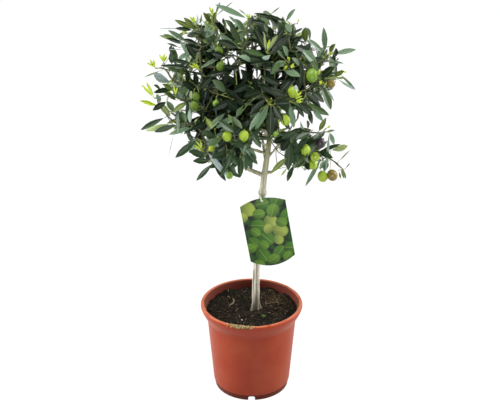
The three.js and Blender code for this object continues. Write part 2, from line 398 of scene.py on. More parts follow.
class Recipe(Wiring):
    """A material being wired up round its main shader."""

    def __init__(self, name: str) -> None:
        """Starts a material with that name.

        Args:
            name: The name.
        """
        self.material = bpy.data.materials.new(name)
        super().__init__(self.material)
        self.shader = self.tree.nodes["Principled BSDF"]

    def surface(self, **values: object) -> None:
        """Sets the main shader's sockets, whose names are written here with underscores."""
        for key, value in values.items():
            self.feed(self.shader.inputs[key.replace("_", " ")], value)

    def place(self, stretch: Triple = (1.0, 1.0, 1.0)) -> Socket:
        """The place on the object, stretched along its axes.

        Args:
            stretch: How much each axis counts.

        Returns:
            The output that gives it.
        """
        coordinates = self.add("TexCoord", {})
        mapping = self.add("Mapping", {"Vector": coordinates.outputs["Object"], "Scale": stretch})
        return mapping.outputs[0]

    def noise(self, vector: Socket, scale: float, detail: float = 4.0, rough: float = 0.55) -> Socket:
        """Soft noise from 0 to 1."""
        inputs = {"Vector": vector, "Scale": scale, "Detail": detail, "Roughness": rough}
        return self.add("TexNoise", inputs).outputs[0]

    def ramp(self, value: object, low: float, high: float) -> Socket:
        """A value spread so that low becomes 0 and high becomes 1, and held there."""
        inputs = {"Value": value, "From Min": low, "From Max": high}
        return self.add("MapRange", inputs, interpolation_type="SMOOTHSTEP").outputs[0]

    def mix(self, share: object, first: object, second: object) -> Socket:
        """A colour between two others."""
        inputs = {0: share, 6: first, 7: second}
        return self.add("Mix", inputs, data_type="RGBA").outputs[2]

    def tint(self, under: object, over: Rgba, value: Socket, low: float, high: float, most: float) -> Socket:
        """Lays a colour over another where a value passes from low to high, most of it at the most.

        Args:
            under: The colour so far.
            over: The colour that is laid over it.
            value: What decides where.
            low: The value at which it begins.
            high: The value at which it is full.
            most: Its share there.

        Returns:
            The new colour.
        """
        return self.mix(self.times(self.ramp(value, low, high), most), under, over)

    def math(self, operation: str, first: object, second: object = 0.0, third: object = 0.0) -> Socket:
        """A sum, product or the like of two or three values."""
        return self.add("Math", {0: first, 1: second, 2: third}, operation=operation).outputs[0]

    def times(self, first: object, second: object) -> Socket:
        """The product of two values."""
        return self.math("MULTIPLY", first, second)

    def plus(self, first: object, second: object) -> Socket:
        """The sum of two values."""
        return self.math("ADD", first, second)

    def vector(self, operation: str, inputs: dict) -> bpy.types.Node:
        """A node that reckons with vectors."""
        return self.add("VectorMath", inputs, operation=operation)

    def axes(self, place: Socket) -> list[Socket]:
        """The three coordinates of a place."""
        return list(self.add("SeparateXYZ", {0: place}).outputs)

    def bump(self, height: Socket, depth: float, strength: float = 1.0) -> Socket:
        """A fine relief of that depth, in metres, for the shader's normal."""
        inputs = {"Height": height, "Distance": depth, "Strength": strength}
        return self.add("Bump", inputs).outputs[0]


@dataclass(frozen=True)
class Finish:
    """A look, whose material is made once and then shared."""

    name: str
    made: ClassVar[dict[str, bpy.types.Material]] = {}

    def material(self) -> bpy.types.Material:
        """The look's material.

        Returns:
            The material.
        """
        if self.name not in self.made:
            recipe = Recipe(self.name)
            self.wire(recipe)
            self.made[self.name] = recipe.material
        return self.made[self.name]

    def wire(self, recipe: Recipe) -> None:
        """Wires up the look, which each kind of finish does in its own way."""
        raise NotImplementedError


@dataclass(frozen=True)
class PlainFinish(Finish):
    """One even colour, for leaves, fruit and crumbs, which get their variety from each other."""

    color: Rgba
    roughness: float = 0.5
    specular: float = 0.5

    def wire(self, recipe: Recipe) -> None:
        """Sets the colour."""
        recipe.surface(Base_Color=self.color, Roughness=self.roughness, Specular_IOR_Level=self.specular)


@dataclass(frozen=True)
class BarkFinish(Finish):
    """Smooth bark with lengthwise streaks and raised pores, soiled low down and green above."""

    pale: Rgba
    dark: Rgba
    green: Rgba
    young: Rgba
    soil: Rgba
    young_from: tuple[float, float] = (310 * MM, 410 * MM)  # heights over which the bark turns young
    soil_from: tuple[float, float] = (196 * MM, 152 * MM)  # and down over which it gets soiled

    def wire(self, recipe: Recipe) -> None:
        """Mixes the colours by lengthwise noise and by height.

        Args:
            recipe: The material being wired up.
        """
        streak = recipe.noise(recipe.place((1.0, 1.0, 0.04)), 240.0, 5.0, 0.6)
        patch = recipe.noise(recipe.place((1.0, 1.0, 0.35)), 55.0, 3.0)
        pore = recipe.noise(recipe.place((1.0, 1.0, 0.5)), 900.0, 2.0)
        color = recipe.mix(recipe.ramp(streak, 0.38, 0.6), self.dark, self.pale)
        height = recipe.axes(recipe.place())[2]
        color = recipe.tint(color, self.green, patch, 0.5, 0.72, 0.55)
        color = recipe.tint(color, self.dark, pore, 0.62, 0.72, 0.5)
        color = recipe.tint(color, self.young, height, *self.young_from, 0.62)
        color = recipe.tint(color, self.soil, height, *self.soil_from, 0.7)
        relief = recipe.plus(streak, recipe.times(pore, 0.4))
        recipe.surface(
            Base_Color=color,
            Roughness=recipe.add("MapRange", {0: patch, 3: 0.62, 4: 0.85}).outputs[0],
            Specular_IOR_Level=0.3,
            Normal=recipe.bump(relief, 0.5 * MM),
        )


@dataclass(frozen=True)
class PotPlasticFinish(Finish):
    """Satin moulded plastic: faint rings, fine grain, water marks, a little dust, painted shade inside and a
    painted highlight on the lip.
    """

    body: Rgba
    worn: Rgba
    # painted shade, laid over the wall's inside
    inside: Rgba
    # painted highlight along the lip's top edge
    rim: Rgba
    # The wall's middle surface, as height and radius at its foot, under its flare and at its lip.
    wall: tuple[tuple[float, float], ...]
    dust: float = 0.19  # sheen of the fine dust on it
    ring_gap: float = 2.6 * MM
    rim_highlight_heights: tuple[float, float] = (160.4 * MM, 161.7 * MM)  # over which the painted highlight on the lip's edge begins

    def wire(self, recipe: Recipe) -> None:
        """Marks the wall, darkens its inside and wears the lip's edge pale.

        Args:
            Marks the wall, paints shade over its inside and paints a broken pale highlight along the lip's
            edge.
        """
        place = recipe.place()
        cloud = recipe.noise(place, 18.0, 5.0)
        runs = recipe.noise(recipe.place((1.0, 1.0, 0.12)), 90.0, 4.0)
        grain = recipe.noise(place, 1500.0, 2.0)
        height = recipe.axes(place)[2]
        rings = recipe.math("SINE", recipe.times(height, 2 * math.pi / self.ring_gap))
        color = recipe.tint(self.body, self.worn, cloud, 0.4, 0.75, 0.35)
        color = recipe.tint(color, self.worn, runs, 0.58, 0.8, 0.22)
        across = recipe.vector("MULTIPLY", {0: place, 1: (1.0, 1.0, 0.0)}).outputs[0]
        radius = recipe.vector("LENGTH", {0: across}).outputs["Value"]
        slopes = []
        for (low, start), (high, end) in zip(self.wall, self.wall[1:]):
            slope = (end - start) / (high - low)
            slopes.append(recipe.math("MULTIPLY_ADD", height, slope, start - low * slope))
        depth = recipe.math("SUBTRACT", recipe.math("MAXIMUM", *slopes), radius)
        # Painted shade: the wall's inside, past its middle surface, takes the darker inside colour.
        within = recipe.ramp(depth, -0.2 * MM, 0.6 * MM)
        color = recipe.mix(within, color, self.inside)
        # Painted highlight: a pale line along the lip's top edge, broken up by noise.
        edge = recipe.times(recipe.ramp(height, *self.rim_highlight_heights), 0.6)
        highlight_patches = recipe.ramp(recipe.noise(place, 60.0, 4.0), 0.32, 0.5)
        color = recipe.mix(recipe.times(edge, highlight_patches), color, self.rim)
        gloss = recipe.add("MapRange", {0: cloud, 3: 0.34, 4: 0.46}).outputs[0]
        relief = recipe.plus(recipe.times(grain, 0.5), recipe.times(rings, 0.06))
        recipe.surface(
            Base_Color=color,
            Roughness=recipe.math("MULTIPLY_ADD", within, 0.4, gloss),
            Specular_IOR_Level=0.3,
            Sheen_Weight=self.dust,
            Sheen_Roughness=0.4,
            Sheen_Tint=(1.0, 0.72, 0.46, 1.0),
            Normal=recipe.bump(relief, 0.08 * MM),
        )


@dataclass(frozen=True)
class CompostFinish(Finish):
    """Damp compost: near black, with brown fibres and paler dry crumbs."""

    wet: Rgba
    dry: Rgba
    fibre: Rgba

    def wire(self, recipe: Recipe) -> None:
        """Mixes the colours by coarse and fine noise, which raise the surface too.

        Args:
            recipe: The material being wired up.
        """
        place = recipe.place()
        coarse = recipe.noise(place, 90.0, 6.0, 0.7)
        fine = recipe.noise(place, 700.0, 4.0, 0.7)
        color = recipe.mix(recipe.ramp(coarse, 0.42, 0.68), self.wet, self.dry)
        color = recipe.tint(color, self.fibre, fine, 0.6, 0.75, 0.6)
        relief = recipe.plus(coarse, recipe.times(fine, 0.5))
        normal = recipe.bump(relief, 1.5 * MM)
        recipe.surface(Base_Color=color, Roughness=0.95, Specular_IOR_Level=0.15, Normal=normal)


@dataclass(frozen=True)
class PrintedLeaf:
    """One round leaf in the label's print, placed in millimetres from the card's middle."""

    across: float
    up: float
    size: float
    turn: float
    tint: Rgba


@dataclass(frozen=True)
class PrintedCardFinish(Finish):
    """Glossy card printed with overlapping round leaves over deep shade."""

    leaves: tuple[PrintedLeaf, ...]
    shade: Rgba
    glow: Rgba
    vein: Rgba
    blade_form: Triple = (0.86, 1.0, 1.0)  # of a printed leaf, which is a little longer than wide

    def motif(self, recipe: Recipe, place: Socket, under: Socket, leaf: PrintedLeaf) -> Socket:
        """Lays one printed leaf over the colours under it.

        Args:
            recipe: The material being wired up.
            place: The place on the card, in millimetres from its middle.
            under: The colours so far.
            leaf: The leaf to add.

        Returns:
            The colours with the leaf.
        """
        centre = (leaf.across, leaf.up, 0.0)
        moved = recipe.vector("SUBTRACT", {0: place, 1: centre}).outputs[0]
        turned = recipe.add("VectorRotate", {"Vector": moved, "Angle": leaf.turn}, rotation_type="Z_AXIS")
        scaled = recipe.vector("SCALE", {0: turned.outputs[0], 3: 1 / leaf.size}).outputs[0]
        along, aside, _ = recipe.axes(scaled)
        reach = recipe.vector("MULTIPLY", {0: scaled, 1: self.blade_form}).outputs[0]
        length = recipe.vector("LENGTH", {0: reach}).outputs["Value"]
        inside = recipe.math("SUBTRACT", 1.0, recipe.ramp(length, 0.95, 1.03))
        light = recipe.plus(recipe.times(along, 0.28), recipe.times(aside, 0.3))
        light = recipe.ramp(recipe.plus(light, 0.1), -0.5, 0.5)
        body = recipe.mix(light, self.darker(leaf.tint), leaf.tint)
        body = recipe.tint(body, self.vein, recipe.math("ABSOLUTE", aside), 0.07, 0.015, 0.45)
        body = recipe.tint(body, self.darker(leaf.tint), length, 0.72, 1.0, 0.5)
        return recipe.mix(inside, under, body)

    @staticmethod
    def darker(tint: Rgba) -> Rgba:
        """The same colour in shade."""
        return tint[0] * 0.3, tint[1] * 0.36, tint[2] * 0.34, 1.0

    def wire(self, recipe: Recipe) -> None:
        """Prints the leaves over the shade, by the card's own map.

        Args:
            recipe: The material being wired up.
        """
        place = recipe.add("UVMap", {}, uv_map=CardLabel.MAP_NAME).outputs[0]
        shade = recipe.ramp(recipe.noise(place, 0.07, 4.0), 0.42, 0.62)
        color = recipe.mix(shade, self.shade, self.glow)
        for leaf in self.leaves:
            color = self.motif(recipe, place, color, leaf)
        recipe.surface(Base_Color=color, Roughness=0.3, Specular_IOR_Level=0.35)


POT_BODY = srgb(158, 50, 16)
POT_WORN = srgb(176, 88, 50)
# painted shade for the pot's inside
POT_PAINTED_SHADE = srgb(96, 30, 14)
# painted highlight for the lip's top edge
POT_RIM_HIGHLIGHT = srgb(188, 114, 74)
BARK = BarkFinish(
    "streaked_bark",
    pale=srgb(224, 218, 203),
    dark=srgb(120, 108, 86),
    green=srgb(170, 164, 124),
    young=srgb(128, 132, 86),
    soil=srgb(72, 64, 46),
)
TWIG_OLD = PlainFinish("twig_old", srgb(62, 65, 38), 0.7, 0.3)
TWIG_GREEN = PlainFinish("twig_green", srgb(88, 94, 46), 0.6, 0.4)
TWIG_NEW = PlainFinish("twig_new", srgb(140, 152, 76), 0.55, 0.4)


# ---- the viewpoint


@dataclass(frozen=True)
class Viewpoint:
    """Where the tree is looked at from; view points count across and down from its top left corner."""

    distance: float = 1.5
    height: float = 1.0
    pitch: float = math.radians(23.19)
    focal: float = 966.8  # in view points, as the next two are
    width: float = 500.0
    middle: tuple[float, float] = (251.6, 200.0)
    sensor: float = 36.0  # millimetres

    @property
    def eye(self) -> Vector:
        """Where the viewer is."""
        return Vector((0.0, -self.distance, self.height))

    def place_camera(self) -> None:
        """Makes the camera, level from side to side and tipped down."""
        bpy.ops.object.camera_add(location=self.eye, rotation=(math.pi / 2 - self.pitch, 0.0, 0.0))
        camera = bpy.context.object
        camera.data.sensor_width = self.sensor
        camera.data.lens = self.focal / self.width * self.sensor
        camera.data.shift_x = (self.width / 2 - self.middle[0]) / self.width
        bpy.context.scene.camera = camera

    def ray(self, across: float, down: float) -> tuple[Vector, Vector]:
        """The line of sight through a view point.

        Args:
            across: The point's distance from the view's left edge.
            down: Its distance from the top edge.

        Returns:
            Where the line starts and its direction.
        """
        way = Vector((across - self.middle[0], self.focal, self.middle[1] - down))
        way = Matrix.Rotation(-self.pitch, 3, "X") @ way
        return self.eye, way.normalized()

    def at_depth(self, across: float, down: float, depth: float) -> Vector:
        """The point at a view point whose Y is depth."""
        start, way = self.ray(across, down)
        return start + way * ((depth - start.y) / way.y)

    def project(self, place: Vector) -> tuple[float, float]:
        """The view point at which a place is seen.

        Args:
            place: The place.

        Returns:
            How far across and how far down it is seen.
        """
        back, fall = place.y + self.distance, self.height - place.z
        depth = math.cos(self.pitch) * back + math.sin(self.pitch) * fall
        rise = math.sin(self.pitch) * back - math.cos(self.pitch) * fall
        return self.middle[0] + self.focal * place.x / depth, self.middle[1] - self.focal * rise / depth


VIEW = Viewpoint()
VIEW_STEP = 1.6 * MM  # how much of the crown's front one view point spans


# ---- the pot


@dataclass
class NurseryPot:
    """The moulded pot: foot ring with drain notches, tapered wall, collar and rolled lip."""

    wall_points: int = 144
    notch_width: float = 12 * MM
    notch_height: float = 8.6 * MM
    notch_count: int = 4
    floor_height: float = 9.6 * MM
    notch_rounding: float = 3.5 * MM
    ring_radius: float = 65 * MM  # of the foot ring
    cut_reach: float = 14 * MM  # how far outwards a notch's cutter extends
    cut_margin: float = 2 * MM  # and how far it is taller than the notch
    fillet_steps: int = 5
    sharpest: float = math.radians(35)  # angle between faces that still shades smooth
    wall_middle: tuple = ((0.011, 0.0678), (0.131, 0.0776), (0.161, 0.0846))
    # Radius, height and fillet of each corner, in millimetres: the underside, the foot, the
    # outside up to the lip, and the inside down to the floor.
    corners: tuple = (
        (61.6, 9.6, 1.0), (61.6, 0.0, 0.5), (65.8, 0.0, 0.8), (67.5, 10.8, 0.5),
        (68.4, 11.6, 1.6), (75.3, 95.0, 30.0), (78.4, 133.6, 0.5), (79.6, 135.2, 0.7),
        (81.4, 139.5, 4.0), (84.7, 145.0, 6.0), (88.4, 152.6, 5.0), (90.0, 158.0, 2.0),
        (89.2, 161.2, 1.2), (87.0, 162.0, 1.2), (83.8, 161.4, 1.2), (81.6, 157.0, 4.0),
        (78.8, 141.5, 8.0), (76.8, 130.0, 2.0), (73.8, 95.0, 30.0), (67.0, 11.4, 1.5),
    )  # fmt: skip

    def outline(self) -> list[Vector]:
        """The pot's section from its underside to its floor, with each corner rounded.

        Returns:
            The section's points, from the underside to the floor.
        """
        ends = [Vector((0.0, 0.0, self.floor_height)), Vector((0.0, 0.0, self.corners[-1][1] * MM))]
        bare = [Vector((r * MM, 0.0, z * MM)) for r, z, _ in self.corners]
        chain = [ends[0], *bare, ends[1]]
        points = [chain[0]]
        for i, corner in enumerate(bare):
            before, after = chain[i] - corner, chain[i + 2] - corner
            cut = min(self.corners[i][2] * MM, before.length * 0.45, after.length * 0.45)
            start = corner + before.normalized() * cut
            end = corner + after.normalized() * cut
            for k in range(self.fillet_steps + 1):
                share = k / self.fillet_steps
                points.append(start.lerp(corner, share).lerp(corner.lerp(end, share), share))
        return [*points, chain[-1]]

    def build_shell(self) -> bpy.types.Object:
        """Turns the section about the pot's axis.

        Returns:
            The pot without its notches.
        """
        points = self.outline()
        deselect_all()
        bpy.ops.mesh.primitive_plane_add(size=MM, location=points[0])
        pot = bpy.context.object
        bpy.ops.object.mode_set(mode="EDIT")
        bpy.ops.mesh.merge(type="CENTER")
        for before, after in zip(points, points[1:]):
            move = tuple(after - before)
            bpy.ops.mesh.extrude_vertices_move(TRANSFORM_OT_translate={"value": move})
        bpy.ops.mesh.select_all(action="SELECT")
        bpy.ops.mesh.spin(steps=self.wall_points, angle=2 * math.pi, center=(0, 0, 0), axis=(0, 0, 1))
        close_mesh()
        return settle(pot, "nursery_pot")

    def cut_notches(self, pot: bpy.types.Object) -> None:
        """Cuts the arched drain notches through the foot ring.

        Args:
            pot: The pot to cut.
        """
        for i in range(self.notch_count):
            bearing = i * 2 * math.pi / self.notch_count
            deselect_all()
            bpy.ops.mesh.primitive_cube_add(
                size=1.0,
                location=(self.ring_radius, 0.0, (self.notch_height - self.cut_margin) / 2),
                scale=(self.cut_reach, self.notch_width, self.notch_height + self.cut_margin),
            )
            cutter = settle(bpy.context.object, "notch_cutter")
            bpy.ops.object.mode_set(mode="EDIT")
            bpy.ops.mesh.select_all(action="DESELECT")
            bpy.ops.object.mode_set(mode="OBJECT")
            for edge in cutter.data.edges:
                edge.select = self.is_arch_edge(cutter.data, edge)
            bpy.ops.object.mode_set(mode="EDIT")
            bpy.ops.mesh.select_mode(type="EDGE")
            bpy.ops.mesh.bevel(offset=self.notch_rounding, segments=6, affect="EDGES")
            bpy.ops.mesh.select_all(action="SELECT")
            bpy.ops.transform.rotate(value=-bearing, orient_axis="Z", center_override=(0, 0, 0))
            bpy.ops.object.mode_set(mode="OBJECT")
            apply_modifier(pot, "BOOLEAN", operation="DIFFERENCE", object=cutter, solver="EXACT")
            bpy.data.objects.remove(cutter)

    @staticmethod
    def is_arch_edge(mesh: bpy.types.Mesh, edge: bpy.types.MeshEdge) -> bool:
        """Whether an edge of a cutter runs along its top, outwards from the pot."""
        first, second = (mesh.vertices[i].co for i in edge.vertices)
        return min(first.z, second.z) > 0 and abs(first.x - second.x) > MM

    def build(self) -> None:
        """Builds, dresses and reports the pot."""
        pot = self.build_shell()
        self.cut_notches(pot)
        make_active(pot)
        bpy.ops.object.shade_smooth_by_angle(angle=self.sharpest)
        finish = PotPlasticFinish("pot_plastic", POT_BODY, POT_WORN, POT_PAINTED_SHADE, POT_RIM_HIGHLIGHT, self.wall_middle)
        pot.data.materials.append(finish.material())
        hand_over([pot], "pot_plastic", "pot")


# ---- the compost


class Litter(Enum):
    """What lies loose on the compost, with its colour."""

    PEAT = PlainFinish("peat", srgb(24, 21, 16), 0.95, 0.15)
    SOIL = PlainFinish("soil_crumb", srgb(38, 32, 23), 0.95, 0.15)
    BROWN = PlainFinish("brown_bark", srgb(62, 50, 34), 0.9, 0.2)
    FIBRE = PlainFinish("tan_fibre", srgb(96, 79, 53), 0.85, 0.2)
    STRAW = PlainFinish("straw", srgb(168, 146, 104), 0.8, 0.25)
    GRIT = PlainFinish("white_grit", srgb(214, 208, 196), 0.8, 0.3)
    MOSS = PlainFinish("moss", srgb(112, 108, 60), 0.95, 0.15)
    MOSS_DRY = PlainFinish("moss_dry", srgb(178, 154, 112), 0.95, 0.15)
    HUSK = PlainFinish("husk", srgb(138, 126, 100), 0.8, 0.25)


LITTER = list(Litter)


@dataclass
class Compost:
    """The fill: an uneven bed under loose crumbs, chips and fibres."""

    seed: int = 11
    rings: int = 34
    spokes: int = 120
    edge_radius: float = 79.6 * MM
    crumb_count: int = 2600
    fibre_count: int = 620
    dry_count: int = 620  # of the fibres where the bed has dried
    moss_count: int = 760
    bed_relief: float = 4.6 * MM
    bared: float = 9 * MM  # radius about the trunk's middle without crumbs
    trunk_foot: Vector = field(default_factory=lambda: Vector((7 * MM, -3 * MM, 0.0)))

    def __post_init__(self) -> None:
        """Takes the bed's height from the model."""
        self.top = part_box("compost")[1].z
        self.random = random.Random(self.seed)

    def height(self, x: float, y: float) -> float:
        """The bed's height at a place.

        Args:
            x: The place's X.
            y: Its Y.

        Returns:
            The height above the ground.
        """
        place = Vector((x, y, 0.31))
        bumps = layered_noise(place, 60.0, 4) * self.bed_relief
        bumps += layered_noise(place, 220.0, 3) * self.bed_relief * 0.35
        near = math.exp(-((Vector((x, y, 0.0)) - self.trunk_foot).length / (16 * MM)) ** 2)
        rim = max(0.0, math.hypot(x, y) / self.edge_radius - 0.75) * 4
        return self.top + bumps * (1 - 0.6 * near) + 1.0 * MM * near - 0.8 * MM * rim

    def build_bed(self) -> bpy.types.Object:
        """Extrudes a ring inwards, ring by ring, and sets each point to the bed's height.

        Returns:
            The bed.
        """
        deselect_all()
        bpy.ops.mesh.primitive_circle_add(
            vertices=self.spokes, radius=self.edge_radius, fill_type="NOTHING", location=(0, 0, self.top)
        )
        bed = bpy.context.object
        bpy.ops.object.mode_set(mode="EDIT")
        bpy.ops.mesh.extrude_edges_move(TRANSFORM_OT_translate={"value": (0, 0, 0)})
        for ring in range(1, self.rings):
            scale = 1 - 1 / (self.rings - ring + 1)
            bpy.ops.transform.resize(value=(scale, scale, 1), center_override=(0, 0, self.top))
            bpy.ops.mesh.extrude_edges_move(TRANSFORM_OT_translate={"value": (0, 0, 0)})
        bpy.ops.mesh.merge(type="CENTER")
        close_mesh()
        settle(bed, "compost_bed")
        for vertex in bed.data.vertices:
            vertex.co.z = self.height(vertex.co.x, vertex.co.y)
        bed.data.polygons.foreach_set("use_smooth", [True] * len(bed.data.polygons))
        if bed.data.polygons[0].normal.z < 0:
            bed.data.flip_normals()
        return bed

    def somewhere(self, spread: float = 0.97) -> tuple[float, float]:
        """A random place on the bed.

        Args:
            spread: How much of the bed's radius it may be in.

        Returns:
            The place's X and Y.
        """
        radius = math.sqrt(self.random.random()) * self.edge_radius * spread
        bearing = self.random.uniform(0, 2 * math.pi)
        return radius * math.cos(bearing), radius * math.sin(bearing)

    def on_bed(self, x: float, y: float, lift: float = 0.0) -> Vector:
        """The point of the bed at a place, raised by lift."""
        return Vector((x, y, self.height(x, y) + lift))

    def chunk(self, soup: MeshSoup, centre: Vector, size: Vector, slot: int) -> None:
        """Adds an irregular crumb: a jittered octahedron with its edges split once.

        Args:
            soup: The mesh to add to.
            centre: The crumb's middle.
            size: Its half width on each axis.
            slot: The slot of its finish.
        """
        turn = Matrix.Rotation(self.random.uniform(0, 2 * math.pi), 3, "Z")
        turn = turn @ Matrix.Rotation(self.random.uniform(-0.6, 0.6), 3, "X")
        points = []
        for corner in CHUNK_POINTS:
            jitter = self.random.uniform(0.7, 1.2)
            points.append(centre + turn @ Vector(c * s * jitter for c, s in zip(corner, size)))
        soup.add(points, CHUNK_FACES, slot)

    def fibre(self, soup: MeshSoup, x: float, y: float, kind: Litter, lengths: tuple, radii: tuple) -> None:
        """Adds a bent fibre that lies on the bed.

        Args:
            soup: The mesh to add to.
            x: The X at which it starts.
            y: And the Y.
            kind: What it is.
            lengths: The shortest and the longest that it may be, in millimetres.
            radii: Its thinnest and thickest radius in its middle, in millimetres.
        """
        length, radius = self.random.uniform(*lengths) * MM, self.random.uniform(*radii) * MM
        bearing = self.random.uniform(0, 2 * math.pi)
        bend = self.random.uniform(-1.3, 1.3)
        lift = self.random.uniform(0.2, 1.0) * length * 0.18
        path, spot = [], Vector((x, y, 0.0))
        spans = 4
        for i in range(spans + 1):
            share = i / spans
            path.append(self.on_bed(spot.x, spot.y, radius * 0.6 + math.sin(share * math.pi) * lift))
            turned = bearing + bend * share
            spot += Vector((math.cos(turned), math.sin(turned), 0.0)) * (length / spans)
        if max(math.hypot(p.x, p.y) for p in path) > self.edge_radius - 1 * MM:
            return
        thick = [radius * (1 - 0.5 * abs(2 * i / spans - 1)) for i in range(spans + 1)]
        soup.tube(path, thick, 4, LITTER.index(kind))

    def build_litter(self) -> bpy.types.Object:
        """Scatters crumbs, chips, fibres, grit and one dry husk over the bed.

        Returns:
            The litter as one piece.
        """
        soup = MeshSoup()
        crumbs = {Litter.PEAT: 52, Litter.SOIL: 36, Litter.BROWN: 11, Litter.FIBRE: 2, Litter.GRIT: 0.12}
        for _ in range(self.crumb_count):
            kind = pick(self.random, crumbs)
            size = self.random.uniform(0.5, 1.0) ** 2 * 2.3 * MM
            flat = self.random.uniform(0.35, 0.9)
            extent = Vector((size, size * self.random.uniform(0.5, 1.0), size * flat))
            x, y = self.somewhere()
            if math.hypot(x - self.trunk_foot.x, y - self.trunk_foot.y) < self.bared:
                continue
            self.chunk(soup, self.on_bed(x, y, size * 0.15), extent, LITTER.index(kind))
        fibres = {Litter.BROWN: 5, Litter.FIBRE: 2, Litter.STRAW: 0.4, Litter.SOIL: 8}
        for _ in range(self.fibre_count):
            kind = pick(self.random, fibres)
            self.fibre(soup, *self.somewhere(0.9), kind, (4, 13), (0.18, 0.42))
        self.dry_patch(soup)
        self.husk(soup)
        for x, y, size in ((-17, -42, 1.8), (31, -20, 1.1), (-42, -18, 1.2), (12, 44, 1.3)):
            extent = Vector((size, size * 0.8, size * 0.7)) * MM
            self.chunk(soup, self.on_bed(x * MM, y * MM, 0.8 * MM), extent, LITTER.index(Litter.GRIT))
        return soup.build("compost_litter", [kind.value for kind in LITTER])

    def dry_patch(self, soup: MeshSoup) -> None:
        """Thickens the fibres where the bed has dried, behind and to the right of the trunk.

        Args:
            soup: The mesh to add to.
        """
        fibres = {Litter.BROWN: 4, Litter.FIBRE: 5, Litter.STRAW: 1}
        for _ in range(self.dry_count):
            x, y = self.random.gauss(44, 17) * MM, self.random.gauss(36, 21) * MM
            if math.hypot(x, y) <= self.edge_radius * 0.93:
                self.fibre(soup, x, y, pick(self.random, fibres), (3, 9), (0.2, 0.4))

    def husk(self, soup: MeshSoup) -> None:
        """Lays one curled dry leaf stalk to the left of the trunk.

        Args:
            soup: The mesh to add to.
        """
        line = ((-35.0, 38.0), (-31.6, 24.7), (-34.4, 11.9), (-41.0, 0.0))
        bends = [Vector((x, y, 0.0)) * MM for x, y in line]
        path = []
        for i in range(12):
            spot = catmull(bends, i / 11)
            path.append(self.on_bed(spot.x, spot.y, 1.2 * MM + 1.5 * MM * math.sin(math.pi * i / 11)))
        radii = [1.0 * MM * math.sin(math.pi * (i + 0.6) / 12.2) for i in range(12)]
        soup.tube(path, radii, 5, LITTER.index(Litter.HUSK))

    def build_moss(self) -> bpy.types.Object:
        """Crusts the front of the pot's lip with moss and dried soil.

        Returns:
            The moss as one piece.
        """
        soup = MeshSoup()
        for _ in range(self.moss_count):
            bearing = math.radians(self.random.gauss(257.5, 6.0))
            across = self.random.random()
            radius = lerp(80.8, 90.5, across) * MM
            height = (lerp(157.0, 162.4, min(1.0, across * 2.1)) - max(0.0, across - 0.74) * 11) * MM
            size = self.random.uniform(0.6, 1.7) * MM
            spot = Vector((radius * math.cos(bearing), radius * math.sin(bearing), height))
            self.chunk(soup, spot, Vector((size, size, size * 0.55)), pick(self.random, {0: 4, 1: 6, 2: 2}))
        return soup.build("moss_crust", [Litter.MOSS.value, Litter.MOSS_DRY.value, Litter.BROWN.value])

    def build_seedling(self) -> bpy.types.Object:
        """Grows one small weed seedling on the bed, with four leaves.

        Returns:
            The seedling.
        """
        soup = MeshSoup()
        foot = self.on_bed(21 * MM, -36 * MM)
        crown = foot + UP * 4 * MM
        soup.tube([foot, crown], [0.4 * MM, 0.3 * MM], 5, 0)
        for i in range(4):
            way = heading(25 + 90 * i) + UP * 0.35
            side = way.cross(UP).normalized()
            tip = crown + way * 4.6 * MM
            belly = crown.lerp(tip, 0.6)
            edges = belly + side * 1.5 * MM, belly - side * 1.5 * MM
            points = [crown, edges[0], tip, edges[1], belly - UP * 0.5 * MM]
            soup.add(points, [(0, 1, 4), (1, 2, 4), (2, 3, 4), (3, 0, 4), (0, 3, 2, 1)], 0)
        return soup.build("seedling", [PlainFinish("seedling_green", srgb(92, 134, 58), 0.6)])

    def build(self) -> None:
        """Builds, dresses and reports the compost and what lies on it."""
        bed = self.build_bed()
        finish = CompostFinish("compost", srgb(22, 20, 15), srgb(44, 37, 27), srgb(84, 69, 47))
        bed.data.materials.append(finish.material())
        hand_over([bed, self.build_litter(), self.build_moss(), self.build_seedling()], "compost", "compost")


def split_octahedron() -> tuple[list[Triple], list[tuple[int, int, int]]]:
    """An octahedron with each face split in four and its corners on a sphere.

    Returns:
        Its corners and its faces.
    """
    points = [(1, 0, 0), (-1, 0, 0), (0, 1, 0), (0, -1, 0), (0, 0, 1), (0, 0, -1)]
    faces = [(4, 0, 2), (4, 2, 1), (4, 1, 3), (4, 3, 0), (5, 2, 0), (5, 1, 2), (5, 3, 1), (5, 0, 3)]
    middles: dict[tuple[int, int], int] = {}

    def middle(a: int, b: int) -> int:
        """The number of the point between two corners.

        Args:
            a: One corner's number.
            b: The other's.

        Returns:
            The point's number.
        """
        key = (min(a, b), max(a, b))
        if key not in middles:
            middles[key] = len(points)
            points.append(tuple(Vector(points[a]).lerp(Vector(points[b]), 0.5).normalized()))
        return middles[key]

    small = []
    for a, b, c in faces:
        ab, bc, ca = middle(a, b), middle(b, c), middle(c, a)
        small += [(a, ab, ca), (b, bc, ab), (c, ca, bc), (ab, bc, ca)]
    return points, small


CHUNK_POINTS, CHUNK_FACES = split_octahedron()


# ---- the wood


@dataclass
class Limb:
    """One limb's middle line and its radius along it."""

    path: list[Vector]
    radii: list[float]


def node_line(name: str, start: Vector, bins: int) -> list[Vector]:
    """Reads the middle line of a limb off its solid.

    Args:
        name: The solid's node.
        start: Where the limb leaves its parent.
        bins: How many stretches the solid is measured in.

    Returns:
        The middle of each stretch that has enough corners, from the parent outwards.
    """
    points = np.array([v.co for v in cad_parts[name].data.vertices])
    away = np.linalg.norm(points - np.array(start), axis=1)
    edges = np.linspace(0, away.max() + 1e-9, bins + 1)
    stretches = [points[(away >= low) & (away <= high)] for low, high in zip(edges, edges[1:])]
    return [Vector(inside.mean(axis=0)) for inside in stretches if len(inside) > 2]


